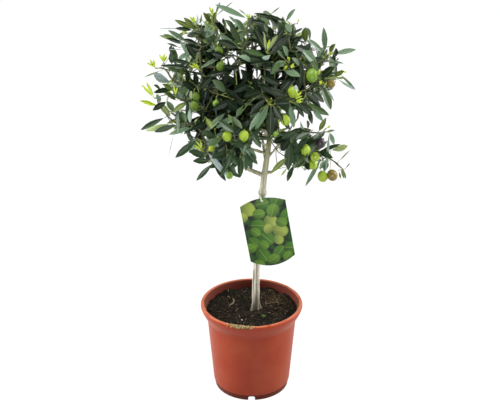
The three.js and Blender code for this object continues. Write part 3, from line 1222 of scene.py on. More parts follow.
@dataclass
class Wood:
    """The trunk and main boughs as one body of bark, with flared roots, collars and relief."""

    foot: Vector = field(default_factory=lambda: Vector((7.0, -3.0, 0.0)) * MM)
    fork: Vector = field(default_factory=lambda: Vector((30.0, 4.0, 468.0)) * MM)
    bend: float = 2.0  # above 1, the trunk stands straight at first and leans more above
    radius: float = 6.9 * MM
    top_radius: float = 4.6 * MM
    sunk: float = 4 * MM  # how far the wood goes on below the compost's surface
    voxel: float = 0.75 * MM
    # Each bough's node, the share of the trunk's height that it leaves at, and its radius.
    boughs: tuple = (
        ("bough_left", 0.79, 4.0), ("bough_right", 0.785, 2.8), ("bough_back", 0.86, 3.0),
        ("bough_upper_left", 0.91, 2.6), ("bough_upper_right", 0.88, 2.2), ("bough_front", 0.95, 2.4),
        ("leader_left", 1.0, 3.2), ("leader_right", 1.0, 3.0),
    )  # fmt: skip
    taper: float = 0.6  # of a bough, from its start to its end
    # Each root spur's bearing, reach and thickness.
    spurs: tuple = ((8, 10.5, 4.4), (128, 10, 4.0), (220, 11, 4.0), (310, 8.5, 3.2))
    root_taper: float = 0.62
    # Each knot's share of the trunk's height, bearing in radians and radius.
    knots: tuple = ((0.16, 4.6, 2.6), (0.35, 5.4, 2.2), (0.52, 4.0, 2.4), (0.66, 5.0, 2.0), (0.72, 1.2, 2.4))
    knot_rise: float = 0.9 * MM
    furrow_depth: float = 0.6 * MM
    swelling: float = 0.5 * MM

    def __post_init__(self) -> None:
        """Takes the trunk's foot from the model."""
        self.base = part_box("trunk")[0].z
        self.height = self.fork.z - self.base

    def middle(self, share: float) -> Vector:
        """The trunk's middle at a share of its height.

        Args:
            share: The share, from 0 at the compost to 1 at the fork.

        Returns:
            The middle.
        """
        lean = abs(share) ** self.bend
        x, y = lerp(self.foot.x, self.fork.x, lean), lerp(self.foot.y, self.fork.y, lean)
        return Vector((x, y, self.base + self.height * share))

    def girth(self, share: float) -> float:
        """The trunk's radius at a share of its height, without the flare."""
        return lerp(self.radius, self.top_radius, share)

    def bough_limbs(self) -> list[Limb]:
        """Each bough as a limb that starts inside the trunk and ends where its solid does.

        Returns:
            The boughs, in the order of their table.
        """
        limbs = []
        for name, share, radius in self.boughs:
            start = self.middle(share)
            line = node_line(name, start, 4)
            far = line[-1] + (line[-1] - line[-2]) * 0.5
            limbs.append(self.tapered([start, line[1], line[2], far], radius, self.taper))
        return limbs

    @staticmethod
    def tapered(path: list[Vector], radius: float, taper: float, steps: int = 8) -> Limb:
        """A limb on the smooth curve through a path, from a radius in millimetres to a share of it."""
        shares = [i / steps for i in range(steps + 1)]
        return Limb([catmull(path, s) for s in shares], [radius * MM * lerp(1, taper, s) for s in shares])

    def sweep(self, limb: Limb) -> bpy.types.Object:
        """Makes a closed tube along a limb, from a curve with a radius at each point.

        Args:
            limb: The limb.

        Returns:
            The tube.
        """
        deselect_all()
        bpy.ops.curve.primitive_nurbs_path_add(location=(0, 0, 0))
        curve = bpy.context.object
        curve.data.splines.clear()
        spline = curve.data.splines.new("POLY")
        spline.points.add(len(limb.path) - 1)
        for point, place, radius in zip(spline.points, limb.path, limb.radii):
            point.co = (*place, 1.0)
            point.radius = radius
        curve.data.dimensions = "3D"
        curve.data.bevel_depth = 1.0
        curve.data.bevel_resolution = 6
        curve.data.use_fill_caps = True
        bpy.ops.object.convert(target="MESH")
        return bpy.context.object

    def trunk_limb(self) -> Limb:
        """The trunk as a limb, from just under the compost to its fork.

        Returns:
            The trunk.
        """
        steps = 60
        low = -self.sunk / self.height
        shares = [lerp(low, 1.0, (i / steps) ** 1.4) for i in range(steps + 1)]
        return Limb([self.middle(s) for s in shares], [self.girth(s) for s in shares])

    def roots(self) -> list[Limb]:
        """The short root spurs of the flare, which run out and down into the compost.

        Returns:
            The spurs.
        """
        roots = []
        for bearing, reach, thick in self.spurs:
            way = heading(bearing)
            top = self.middle(16 * MM / self.height) + way * 2.4 * MM
            knee = self.middle(5 * MM / self.height) + way * 0.62 * reach * MM
            end = self.middle(0.0) + way * reach * MM - UP * 3.5 * MM
            roots.append(self.tapered([top, top.lerp(knee, 0.5), knee, end], thick, self.root_taper))
        return roots

    def relief(self, wood: bpy.types.Object) -> None:
        """Presses long shallow furrows, swellings and small knots into the wood's surface.

        Args:
            wood: The wood to shape.
        """
        mesh = wood.data
        normals = [v.normal.copy() for v in mesh.vertices]
        knots = []
        for share, bearing, radius in self.knots:
            out = Vector((math.cos(bearing), math.sin(bearing), 0.0)) * self.girth(share)
            knots.append((self.middle(share) + out, radius * MM))
        for vertex, normal in zip(mesh.vertices, normals):
            place = vertex.co
            long_ways = Vector((place.x, place.y, place.z * 0.09))
            furrow = layered_noise(long_ways, 330.0, 3) * self.furrow_depth
            swell = layered_noise(place, 34.0, 2) * self.swelling
            near = sum(math.exp(-((place - spot).length / size) ** 2) for spot, size in knots)
            vertex.co = place + normal * (furrow + swell + near * self.knot_rise)

    def build(self) -> None:
        """Builds, dresses and reports the wood."""
        parts = [self.sweep(limb) for limb in [self.trunk_limb(), *self.roots(), *self.bough_limbs()]]
        deselect_all()
        for part in parts:
            part.select_set(True)
        wood = parts[0]
        bpy.context.view_layer.objects.active = wood
        bpy.ops.object.join()
        apply_modifier(wood, "REMESH", mode="VOXEL", voxel_size=self.voxel, use_smooth_shade=True)
        apply_modifier(wood, "SMOOTH", factor=0.6, iterations=9)
        self.relief(wood)
        wood.data.polygons.foreach_set("use_smooth", [True] * len(wood.data.polygons))
        wood.data.materials.clear()
        wood.data.materials.append(BARK.material())
        settle(wood, "trunk_and_boughs")
        hand_over([wood], "bark", "trunk", *[name for name, _, _ in self.boughs])


def catmull(points: list[Vector], share: float) -> Vector:
    """A point on the smooth curve through a chain of points.

    Args:
        points: The chain.
        share: How far along it, from 0 to 1.

    Returns:
        The point.
    """
    spans = len(points) - 1
    at = min(share * spans, spans - 1e-9)
    i = int(at)
    t = at - i
    a = points[i - 1] if i > 0 else points[0] * 2 - points[1]
    b, c = points[i], points[i + 1]
    d = points[i + 2] if i + 2 <= spans else points[-1] * 2 - points[-2]
    return 0.5 * (2 * b + (c - a) * t + (2 * a - 5 * b + 4 * c - d) * t**2 + (3 * b - a - 3 * c + d) * t**3)


# ---- leaves


class LeafColor(Enum):
    """The plain colours that leaves are dealt out in."""

    SHADED = PlainFinish("leaf_shaded", srgb(13, 28, 10), 0.5, 0.15)
    SHADED_BACK = PlainFinish("leaf_shaded_back", srgb(50, 62, 46), 0.6, 0.2)
    DEEP = PlainFinish("leaf_deep", srgb(18, 36, 13), 0.4, 0.35)
    DARK = PlainFinish("leaf_dark", srgb(33, 58, 28), 0.38, 0.45)
    GREEN = PlainFinish("leaf_green", srgb(58, 82, 39), 0.38, 0.5)
    GREY = PlainFinish("leaf_grey_green", srgb(94, 120, 90), 0.42, 0.5)
    OLIVE = PlainFinish("leaf_olive", srgb(96, 114, 42), 0.45, 0.45)
    LIME = PlainFinish("leaf_lime", srgb(190, 212, 54), 0.5, 0.4)
    YOUNG = PlainFinish("leaf_young", srgb(160, 180, 74), 0.5, 0.4)
    SILVER = PlainFinish("leaf_silver", srgb(134, 152, 138), 0.6, 0.35)
    FROST = PlainFinish("leaf_frost", srgb(158, 174, 172), 0.6, 0.4)
    PEWTER = PlainFinish("leaf_pewter", srgb(96, 114, 94), 0.6, 0.3)
    PALE = PlainFinish("leaf_pale_back", srgb(160, 176, 114), 0.6, 0.35)
    RIB = PlainFinish("leaf_rib", srgb(72, 90, 52), 0.45, 0.4)
    RIB_PALE = PlainFinish("leaf_rib_pale", srgb(160, 176, 110), 0.5, 0.4)


LEAF_SLOTS = list(LeafColor)


@dataclass
class Leaf:
    """One leaf: where its blade starts, which way it points and faces, its size and its colours."""

    foot: Vector
    way: Vector
    face: Vector
    length: float
    width: float
    droop: float  # radians that it bends down along its length
    fold: float  # how steeply its halves rise from the midrib
    top: LeafColor
    under: LeafColor
    rib: LeafColor


class LeafMesh:
    """Turns many leaves into one mesh of thin closed blades."""

    ROWS = np.array([0.0, 0.1, 0.28, 0.5, 0.72, 0.89, 1.0])
    WIDTHS = np.array([0.0, 0.32, 0.76, 1.0, 0.84, 0.43, 0.0])
    RIB_SHARE = 0.08  # of the half width
    # Each column's place as a share of the half width, and whether it rises with the fold or sinks.
    COLUMNS = ((-1, 1, 0), (-RIB_SHARE, 0, 0), (RIB_SHARE, 0, 0), (1, 1, 0), (0, 0, 1))
    THICKNESS = 0.35 * MM
    INNER = len(ROWS) - 2  # the rows between foot and tip
    TIP = 1 + INNER * len(COLUMNS)  # the tip's number
    LEAST_DROOP = 0.02

    @classmethod
    def layout(cls) -> tuple[np.ndarray, np.ndarray]:
        """The faces of one blade.

        Returns:
            Each face's four corners, a triangle's last one twice, and its part: 0 for the blade's
            top, 1 for the midrib and 2 for the underside.
        """
        strips = [(0, 1, 0), (1, 2, 1), (2, 3, 0), (3, 4, 2), (4, 0, 2)]
        faces, parts = [], []
        for row in range(cls.INNER + 1):
            for a, b, part in strips:
                corners = (row, a), (row, b), (row + 1, b), (row + 1, a)
                faces.append([cls.number(*corner) for corner in corners])
                parts.append(part)
        return np.array(faces), np.array(parts)

    @classmethod
    def number(cls, row: int, column: int) -> int:
        """The number of the corner in a row and column; foot and tip have one corner each.

        Args:
            row: The row, from 0 at the foot.
            column: The column.

        Returns:
            The number.
        """
        if 0 < row <= cls.INNER:
            return 1 + (row - 1) * len(cls.COLUMNS) + column
        return cls.TIP if row else 0

    @classmethod
    def corners(cls, leaves: list[Leaf]) -> np.ndarray:
        """The corners of all blades, one row of points for each leaf.

        Args:
            leaves: The leaves.

        Returns:
            Their corners, by leaf, corner and axis.
        """
        keys = ("foot", "way", "face", "length", "width", "droop", "fold")
        gathered = (np.array([getattr(leaf, key) for leaf in leaves]) for key in keys)
        foot, way, face, length, width, droop, fold = (part.reshape(len(leaves), 1, -1) for part in gathered)
        side, half, droop = np.cross(way, face), width / 2, np.maximum(droop, cls.LEAST_DROOP)
        table = []
        for row, wide in zip(cls.ROWS, cls.WIDTHS):
            columns = cls.COLUMNS if wide else ((0.0, 0.0, 0.0),)
            table += [(row, offset * wide, rise * wide, sink) for offset, rise, sink in columns]
        row, across, rise, sink = np.array(table).T[:, None, :, None]
        angle = droop * row
        along = np.sin(angle) / droop * length
        fall = (1 - np.cos(angle)) / droop * length
        normal = face * np.cos(angle) + way * np.sin(angle)
        middle = foot + way * along - face * fall
        return middle + side * across * half + normal * (rise * half * fold - sink * cls.THICKNESS)

    @classmethod
    def build(cls, leaves: list[Leaf], name: str) -> bpy.types.Object:
        """Makes one mesh object of all the leaves.

        Args:
            leaves: The leaves.
            name: The object's name.

        Returns:
            The object.
        """
        points = cls.corners(leaves)
        count, per_leaf = points.shape[:2]
        faces, parts = cls.layout()
        colors = [[LEAF_SLOTS.index(color) for color in (leaf.top, leaf.rib, leaf.under)] for leaf in leaves]
        slots = np.array(colors, np.int32)[:, parts].ravel()
        all_faces = (faces[None] + (np.arange(count) * per_leaf)[:, None, None]).reshape(-1, 4)
        rings = [tuple(dict.fromkeys(face)) for face in all_faces.tolist()]
        mesh = bpy.data.meshes.new(name)
        mesh.from_pydata(points.reshape(-1, 3).tolist(), [], rings)
        piece = finish_mesh(mesh, name, slots, [color.value for color in LEAF_SLOTS])
        cls.crease(mesh, per_leaf)
        return piece

    @classmethod
    def crease(cls, mesh: bpy.types.Mesh, per_leaf: int) -> None:
        """Keeps the blades' margins sharp, so that top and underside shade apart.

        Args:
            mesh: The leaves' mesh.
            per_leaf: How many corners each leaf has.
        """
        ends = np.zeros(len(mesh.edges) * 2, np.int32)
        mesh.edges.foreach_get("vertices", ends)
        local = ends.reshape(-1, 2) % per_leaf
        sharp = np.zeros(len(mesh.edges), bool)
        for column in (0, 3):
            margin = [cls.number(row, column) for row in range(cls.INNER + 2)]
            sharp |= np.isin(local, margin).all(axis=1)
        mesh.attributes.new("sharp_edge", "BOOLEAN", "EDGE").data.foreach_set("value", sharp)


# ---- the crown


class Age(Enum):
    """How old a shoot's leaves are."""

    MATURE = "mature"
    TIPPED = "tipped"  # mature, with a tuft of new leaves at its tip
    NEW = "new"  # all new growth


@dataclass
class Shoot:
    """A leafy shoot: its line from foot to tip, and what it bears."""

    foot: Vector
    tip: Vector
    age: Age = Age.MATURE
    bow: float = 0.08  # how far its middle bows down, as a share of its length
    leaf: float = 46 * MM  # length of its longest leaves
    gap: float = 14 * MM  # between its pairs of leaves

    def line(self, count: int) -> list[Vector]:
        """Evenly spaced points from its foot to its tip.

        Args:
            count: How many stretches lie between them.

        Returns:
            The points.
        """
        sag = -UP * self.bow * (self.tip - self.foot).length
        shares = [i / count for i in range(count + 1)]
        return [self.foot.lerp(self.tip, share) + sag * math.sin(math.pi * share) for share in shares]

    def is_new(self, index: int) -> bool:
        """Whether its pair of leaves of that number, counted from its tip, is new growth."""
        return self.age is Age.NEW or (self.age is Age.TIPPED and index < 2)


# The twigs that show in front, each as view points from its foot to its tip.
STEMS = (
    ((202, 84), (202, 62), (199.5, 34), (198.6, 21)),
    ((216, 40), (214.5, 22), (213, 14)),
    ((236, 66), (240, 55), (242.5, 43)),
    ((250, 42), (248, 28), (247.5, 15)),
    ((236, 56), (228, 49), (221, 50)),
    ((267, 66), (267.5, 52)),
    ((290, 52), (290, 34), (291.5, 28), (293.6, 23.6), (298, 21.4)),
    ((296, 52), (308, 43.6)),
    ((304, 72), (316, 64.3), (325, 58.6), (332, 50), (334.5, 45)),
    ((303, 92), (316, 84), (325.7, 81.4), (340.7, 70.7), (344, 71)),
    ((289, 70), (289.5, 60)),
    ((184, 88), (173.6, 85), (168.6, 79), (161.4, 69.6), (155.5, 67)),
    ((186.4, 101.4), (178.6, 98.6), (175, 94.3), (170, 95.5)),
    ((190, 126), (176.4, 122.9), (169.3, 118.6), (162, 112), (157, 103), (153, 96)),
    ((203, 134), (203.6, 142), (205.7, 155), (210.7, 162.5)),
    ((226, 142), (227, 151)),
    ((241, 140), (241, 157)),
    ((262, 94), (269, 101)),
    ((283, 96), (291, 103)),
    ((270, 139), (277, 131.5), (300, 130), (324, 133.6), (327, 128)),
    ((300, 142), (319.3, 150.4), (332, 159.3), (341, 167), (350, 175.7)),
    ((288, 134), (290, 143)),
    ((274, 150), (280, 147), (287, 144), (294, 141)),
)

# The outline that the crown's filling keeps within, in view points, and the patches of sky inside
# it, each a view point and its radius.
OUTLINE = (
    (182, 38), (186, 28), (190, 21), (199, 19), (206, 22), (212, 17), (220, 24), (228, 29), (236, 24),
    (247, 18), (258, 14), (272, 15), (288, 20), (299, 32), (313, 41), (327, 50), (336, 58), (338, 72),
    (333, 86), (323, 96), (312, 99), (300, 104), (297, 111), (287, 118), (276, 127), (290, 130),
    (310, 131), (324, 136), (328, 150), (318, 166), (300, 167), (284, 163), (282, 148), (272, 143),
    (262, 138), (256, 144), (253, 165), (241, 174), (227, 174), (213, 164), (201, 156), (192, 143),
    (184, 131), (170, 125), (163, 113), (171, 104), (175, 96), (165, 88), (171, 80), (176, 72), (174, 62),
    (179, 52), (183, 44),
)  # fmt: skip
GAPS = (
    (229, 24, 3), (181, 51, 3.5), (179, 58, 2), (170, 116, 3), (180, 34, 2), (254, 146, 3), (260, 154, 3),
    (230, 61, 1.8), (226, 62, 1), (244, 66, 1.6), (240, 67, 0.8), (192, 76, 1.5), (199, 80, 1.4),
    (197, 71, 1.6), (185, 77, 1.2), (174, 103, 3.2), (184, 109, 3), (164, 95, 4), (178, 106, 2),
    (254, 72, 2), (259, 72, 1.2), (280, 75, 1.6), (281, 84, 1), (283.5, 86, 0.8), (218, 77, 1.2),
    (225, 71, 1), (231, 75, 1.3), (229, 79, 1), (241, 75, 1.2), (255, 79, 1), (257, 86, 0.8), (217, 87, 1),
    (219.5, 88.5, 0.8), (217, 100.5, 1), (196, 115, 1.5), (205, 136, 1), (265, 132, 1.8), (260, 133, 1.4),
    (268, 122, 0.8), (308, 87, 1.2), (305, 71, 1.2), (310, 95, 1.2), (314, 97, 1.6), (318, 102, 1.6),
    (298, 113, 4), (325, 67, 2), (283, 112, 2), (284, 126, 4), (273, 147, 4), (263, 144, 3),
    (193, 133, 1.8), (234, 166, 1.6), (300, 118, 6.5), (298, 124, 4), (315, 122, 6.5), (270, 26, 1.4),
    (277, 30, 1.2), (217.5, 33, 1), (226, 36, 1), (217, 42, 1), (235, 54, 1.6), (205, 59, 1),
    (250, 48, 1.2), (258, 49, 1), (194, 39, 1.4), (246, 36, 1), (296, 58, 1), (300, 44, 1.2),
    (316, 53, 1.6), (323, 67, 1.4),
)  # fmt: skip
# Where the filling lies in deep shade, each a view point and a radius.
SHADES = (
    (236, 88, 25), (214, 84, 18), (204, 100, 14), (215, 60, 9), (262, 80, 12), (300, 96, 10),
    (228, 138, 8), (166, 98, 9), (285, 84, 8), (208, 122, 10), (282, 106, 7), (281, 140, 8), (198, 82, 10),
    (240, 26, 8), (262, 22, 9), (220, 28, 8), (238, 122, 6),
)  # fmt: skip

LIT_BELOW = 116  # how far down the view the leaves take lighter colours, painted light in place of light from the floor


class Look(Enum):
    """How a leaf placed by its view points is coloured: its top, its underside and its rib."""

    SHADED = (LeafColor.SHADED, LeafColor.SHADED_BACK, LeafColor.DARK)  # deep among the others
    DARK = (LeafColor.DEEP, LeafColor.PEWTER, LeafColor.RIB)
    # painted light: the dark leaves low in the crown take a lighter top
    LIT = (LeafColor.DARK, LeafColor.PEWTER, LeafColor.RIB)
    GREEN = (LeafColor.GREEN, LeafColor.PEWTER, LeafColor.RIB)
    GREY = (LeafColor.GREY, LeafColor.SILVER, LeafColor.RIB)
    OLIVE = (LeafColor.OLIVE, LeafColor.PALE, LeafColor.RIB_PALE)
    LIME = (LeafColor.LIME, LeafColor.YOUNG, LeafColor.RIB_PALE)
    BACK = (LeafColor.GREEN, LeafColor.SILVER, LeafColor.RIB)  # shows its silvery underside
    FROST = (LeafColor.GREEN, LeafColor.FROST, LeafColor.RIB)  # shows a still paler one
    PALE = (LeafColor.OLIVE, LeafColor.PALE, LeafColor.RIB)  # shows a paler underside


# The leaves that show in front: foot and tip as view points, and width.
BLADES = {
    Look.DARK: (
        (283, 30, 270, 18, 5.5), (264, 60, 243, 57, 5.5), (212, 76, 200, 88, 6), (258, 84, 272, 92, 5.5),
        (248, 81, 242, 70, 5.5), (250, 61, 238, 62, 3.6), (263, 84, 252, 80, 5), (257, 92, 254, 79, 4.5),
        (257, 66, 257, 79, 1.8), (237, 56, 225, 56, 3.2), (235, 68, 224, 66, 3.4), (240, 65, 222, 72, 5),
        (188, 83, 187, 70, 3.8), (203, 74, 192, 73, 3.2), (197, 86, 195, 74, 3.8), (200, 34, 187, 36, 4.5),
        (198, 45, 184, 39, 4), (190, 63, 172, 60, 4), (325, 132, 314, 139, 5), (232, 152, 226, 168, 5.5),
        (247, 152, 246, 171, 5), (229, 162, 220, 177, 4.5), (252, 136, 244, 150, 5), (236, 84, 228, 76, 5),
        (192, 30, 176, 28, 3.5), (199, 34, 212, 33, 3.5), (185, 44, 166, 38, 4), (171, 54, 171, 46, 4.5),
        (190, 68, 160, 65, 5), (214, 21, 236, 41, 7.5), (238, 48, 218, 40, 7), (224, 25, 223, 18, 3),
        (200, 50, 185, 45, 5), (198, 62, 186, 43, 6), (166, 102, 153, 110, 5.5), (172, 89, 154, 92, 5),
        (186, 104, 179, 110, 2), (188, 99, 187, 121, 4.5), (164, 118, 140, 130, 6.3),
        (176, 125, 154, 132, 7), (196, 140, 175, 158, 8), (204, 156, 189, 151, 6),
        (209, 161, 193, 161, 5.5), (212, 164, 196, 181, 6), (214, 164, 226, 181, 6),
        (227, 163, 236, 174, 6), (227, 150, 238, 166, 6), (241, 157, 240, 178, 7),
        (243, 148, 253, 170, 7.5), (243, 150, 258, 164, 6.5), (202, 108, 204, 141, 8),
        (223, 87, 245, 106, 7.5), (286, 21, 254, 13, 5.6), (267, 24, 252, 21, 4), (266, 51, 254, 27, 7),
        (269, 50, 285, 27, 7.5), (270, 55, 289, 36, 8), (272, 62, 251, 64, 6), (282, 70, 266, 69, 4),
        (301, 60, 300, 90, 7), (323, 58, 304, 63, 6), (292, 34, 303, 28, 3), (310, 43, 306, 51, 5),
        (321, 78, 333, 67, 8), (311, 91, 324, 102, 6), (304, 91, 321, 107, 7.5), (300, 104, 310, 115, 5),
        (309, 109, 312, 124, 4.5), (298, 103, 313, 111, 6), (296, 105, 304, 117, 4), (333, 55, 334, 70, 6),
        (334, 58, 336, 48, 4.6), (272, 38, 270, 27, 5), (267, 98, 249, 116, 7), (271, 107, 270, 139, 9),
        (273, 106, 283, 121, 8), (290, 97, 261, 87, 7.5), (275, 104, 290, 103, 6), (262, 92, 244, 96, 6.5),
        (312, 130, 289, 132, 7.5), (308, 129, 308, 121, 4.6), (290, 137, 273, 142, 6.5),
        (324, 132, 303, 148, 9), (321, 151, 340, 144, 4), (319, 151, 333, 158, 5),
        (290, 140, 288, 171, 9.5), (294, 142, 293, 166, 9), (302, 133, 284, 149, 7),
        (308, 139, 291, 155, 7), (312, 135, 297, 147, 6), (300, 145, 297, 163, 7), (281, 151, 290, 138, 6),
        (316, 141, 306, 156, 6), (293, 166, 287, 181, 5), (306, 161, 309, 170, 4), (251, 131, 261, 148, 7),
        (212, 60, 206, 52, 6), (228, 48, 214, 60, 6), (205, 90, 230, 78, 7), (250, 84, 232, 92, 7),
        (232, 100, 212, 110, 8), (262, 76, 280, 84, 7), (218, 120, 234, 132, 8), (232, 132, 216, 150, 8),
        (226, 152, 212, 158, 7), (294, 76, 280, 92, 6.5), (240, 112, 226, 100, 7), (232, 142, 250, 148, 8),
        (298, 131, 282, 138, 6), (302, 134, 289, 141, 6.5), (309, 133, 296, 139, 5.5),
        (290, 129, 283, 121, 4.5), (224, 57, 213, 53, 4.5), (214, 138, 203, 131, 5),
        (224, 33, 219, 22, 4.5), (258, 24, 268, 33, 5), (240, 158, 231, 169, 5), (208, 122, 190, 130, 6),
        (198, 92, 184, 82, 6), (206, 76, 224, 72, 5.5), (310, 52, 296, 46, 5),
    ),
    Look.GREEN: (
        (303, 103, 330, 115, 8), (265, 56, 244, 50, 5.5), (272, 38, 265, 24, 5), (214, 46, 219, 36, 4),
        (279, 34, 279, 22, 4), (176, 100, 166, 92, 4), (180, 72, 168, 68, 3.4), (177, 62, 173, 48, 4),
        (188, 86, 181, 94, 4.5), (181, 111, 186, 122, 6.5), (271, 14, 263, 12, 3.5),
        (310, 40, 308, 28, 4.5), (330, 56, 335, 72, 7), (321, 85, 332, 110, 8.5),
        (305, 159, 294, 168, 4.5), (280, 62, 272, 74, 5), (226, 92, 214, 80, 6), (300, 150, 308, 162, 5),
        (222, 138, 208, 146, 6), (310, 60, 318, 70, 5), (236, 30, 226, 20, 4), (242, 107, 237, 116, 4.5),
        (232, 117, 242, 128, 4.5), (241, 44, 230, 25, 6.5), (247, 28, 240, 40, 4.5), (260, 18, 270, 24, 4),
        (167, 101, 174, 112, 5.5), (226, 31, 224, 19, 3), (178, 47, 167, 43, 2.6),
    ),
    Look.GREY: (
        (246, 18, 215, 4, 6.4), (216, 16, 233, 1, 1.4), (216, 14, 220, 2, 2.8), (187, 42, 168, 30, 5),
        (172, 64, 171, 52, 4), (199, 69, 223, 55, 4), (204, 34, 216, 50, 7), (238, 47, 219, 34, 5),
        (244, 31, 235, 19, 4.5), (246, 15, 239, 9, 1.4), (252, 61, 240, 56, 5), (161, 90, 154, 85, 4.5),
        (157, 94, 160, 102, 4.5), (191, 128, 168, 134, 5.6), (240, 142, 257, 159, 7.5),
        (204, 134, 224, 113, 6), (216, 128, 236, 116, 6.5), (271, 14, 280, 7, 1.6), (286, 23, 291, 32, 4),
        (237, 24, 229, 16, 3), (176, 38, 163, 34, 3), (286, 61, 274, 67, 6), (285, 71, 300, 76, 5.5),
        (288, 57, 284, 46, 5.5), (317, 64, 304, 50, 6.5), (324, 53, 309, 40, 3.8), (325, 51, 324, 28, 6),
        (334, 54, 356, 49, 6), (286, 21, 295, 9, 3.5), (328, 61, 344, 63, 2.6), (341, 75, 356, 90, 3.2),
        (290, 105, 294, 128, 7.5), (313, 110, 323, 121, 4.5), (269, 104, 255, 130, 7.5),
        (260, 111, 249, 131, 5.5), (304, 129, 300, 121, 4.4), (326, 132, 335, 130, 2.8),
        (330, 133, 334, 144, 3.8), (321, 159, 305, 187, 5), (326, 160, 320, 169, 5),
        (341, 169, 344, 179, 2), (346, 168, 350, 163, 1.5), (284, 58, 278, 51, 5), (336, 61, 339, 58, 1.6),
        (317, 50, 321, 56, 3), (190, 52, 178, 60, 4), (300, 66, 292, 58, 4.5), (212, 24, 205, 31, 4),
        (213, 16, 205, 17, 3), (328, 162, 324, 171, 4), (214, 30, 206, 37, 4.5), (208, 140, 218, 146, 4.5),
        (248, 156, 240, 148, 4.5),
    ),
    Look.OLIVE: (
        (213, 18, 207, 13, 3), (212, 20, 206, 18, 3.2), (213, 21, 208, 24, 3), (214, 22, 216, 12, 4),
        (211, 23, 204, 13, 3.6), (327, 59, 321, 55, 4), (195, 30, 185, 18, 4.2), (194, 29, 175, 20, 5.2),
        (199, 33, 189, 36, 3.8), (182, 42, 159, 35, 4.6), (160, 71, 144, 77, 1.8), (195, 66, 198, 52, 3.2),
        (183, 76, 180, 69, 3.4), (172, 90, 163, 84, 3.4), (159, 102, 170, 116, 7.5),
        (186, 102, 173, 112, 5), (329, 53, 335, 44, 3.8), (305, 42, 305, 28, 6), (319, 131, 326, 118, 3.4),
        (339, 161, 350, 150, 1.5), (218, 28, 206, 24, 3), (326, 78, 338, 77, 3), (333, 160, 341, 168, 2.2),
        (342, 168, 346, 179, 3.2), (339, 172, 341, 179, 2.4), (334, 76, 344, 71, 3.4),
        (336, 78, 345, 78, 2.6), (206, 118, 212, 128, 4), (277, 132, 288, 128, 3), (176, 38, 184, 32, 3),
        (232, 122, 228, 114, 3), (271, 173, 286, 158, 5),
    ),
    Look.LIME: (
        (212.5, 15, 210.7, 6.4, 3.4), (212, 17, 208.5, 13, 3), (195, 23, 191, 16, 4.4),
        (187, 34, 182.5, 30.5, 3.5), (163.5, 62, 160.5, 54, 3.2), (163.5, 62, 166, 54, 3.2),
        (155, 67, 151, 58.5, 3.2), (154.5, 67, 147.5, 61.5, 3.2), (199, 69, 190, 63.5, 3),
        (199, 69.5, 193.5, 63, 2.6), (153, 97, 141.4, 84.3, 3.2), (153.6, 96, 146.4, 82, 3.2),
        (157, 105.7, 140, 100.5, 3.8), (171, 93, 163, 86, 3.8), (170, 94, 161.5, 90, 2.8),
        (175.5, 95, 175, 84.5, 2.8), (202, 151, 192.5, 144.5, 3), (202, 149, 197, 139.5, 2.8),
        (208, 151, 213, 142, 2.8), (209, 151, 216.5, 147.5, 2.6), (267.5, 51, 269.6, 39, 3),
        (288, 66, 283, 68.5, 3.6), (290, 68, 294.8, 64, 3.6), (328.6, 56.4, 333, 49, 3.2),
        (319, 75, 318.6, 68, 3), (318, 84, 323, 81, 3.6), (324, 85, 329.5, 82.5, 3),
        (295, 99, 302.5, 93, 3.2), (295, 102, 303.5, 99.5, 3), (269, 104, 266, 97, 2.6),
        (269, 104, 272.5, 98, 2.8), (248, 18, 245.5, 13, 2.4), (248, 18, 250.5, 14, 2.4),
        (298, 22, 299, 19, 2), (289.5, 61, 288, 56, 2.6), (327, 128, 331, 125.5, 2),
        (246, 142, 240, 141, 2.2), (343, 71, 346.5, 73, 2),
    ),
    Look.BACK: (
        (329, 134, 326, 171, 3.6), (196, 24, 198, 14, 4), (199, 23, 203, 14, 3.8), (194, 25, 188, 19, 3.2),
        (191, 62, 178, 36, 3.2), (187, 54, 186, 66, 2.8), (178, 69, 180, 90, 2.8),
        (184, 100, 190, 86, 2.6), (190, 108, 190, 123, 4), (178, 111, 178, 134, 3.2),
        (207, 136, 208, 145, 3.2), (339, 80, 355, 90, 3), (326, 88, 334, 101, 3), (270, 55, 262, 60, 4.2),
        (172, 66, 173, 73, 4),
    ),
    Look.FROST: (
        (170, 82, 153, 74, 6), (208, 153, 227, 176, 6.6), (299, 91, 293, 85, 4.5), (180, 28, 158, 29, 1),
        (174, 133, 168, 157, 1), (184, 49, 166, 50, 0.9),
    ),
    Look.PALE: (
        (169, 124, 146, 131, 6.3), (266, 51, 264, 33, 2.8), (267, 52, 278, 34, 3.4),
        (332, 150, 348, 146, 5.6), (217, 144, 218, 136, 3), (287, 168, 281, 176, 2.4),
    ),
}  # fmt: skip


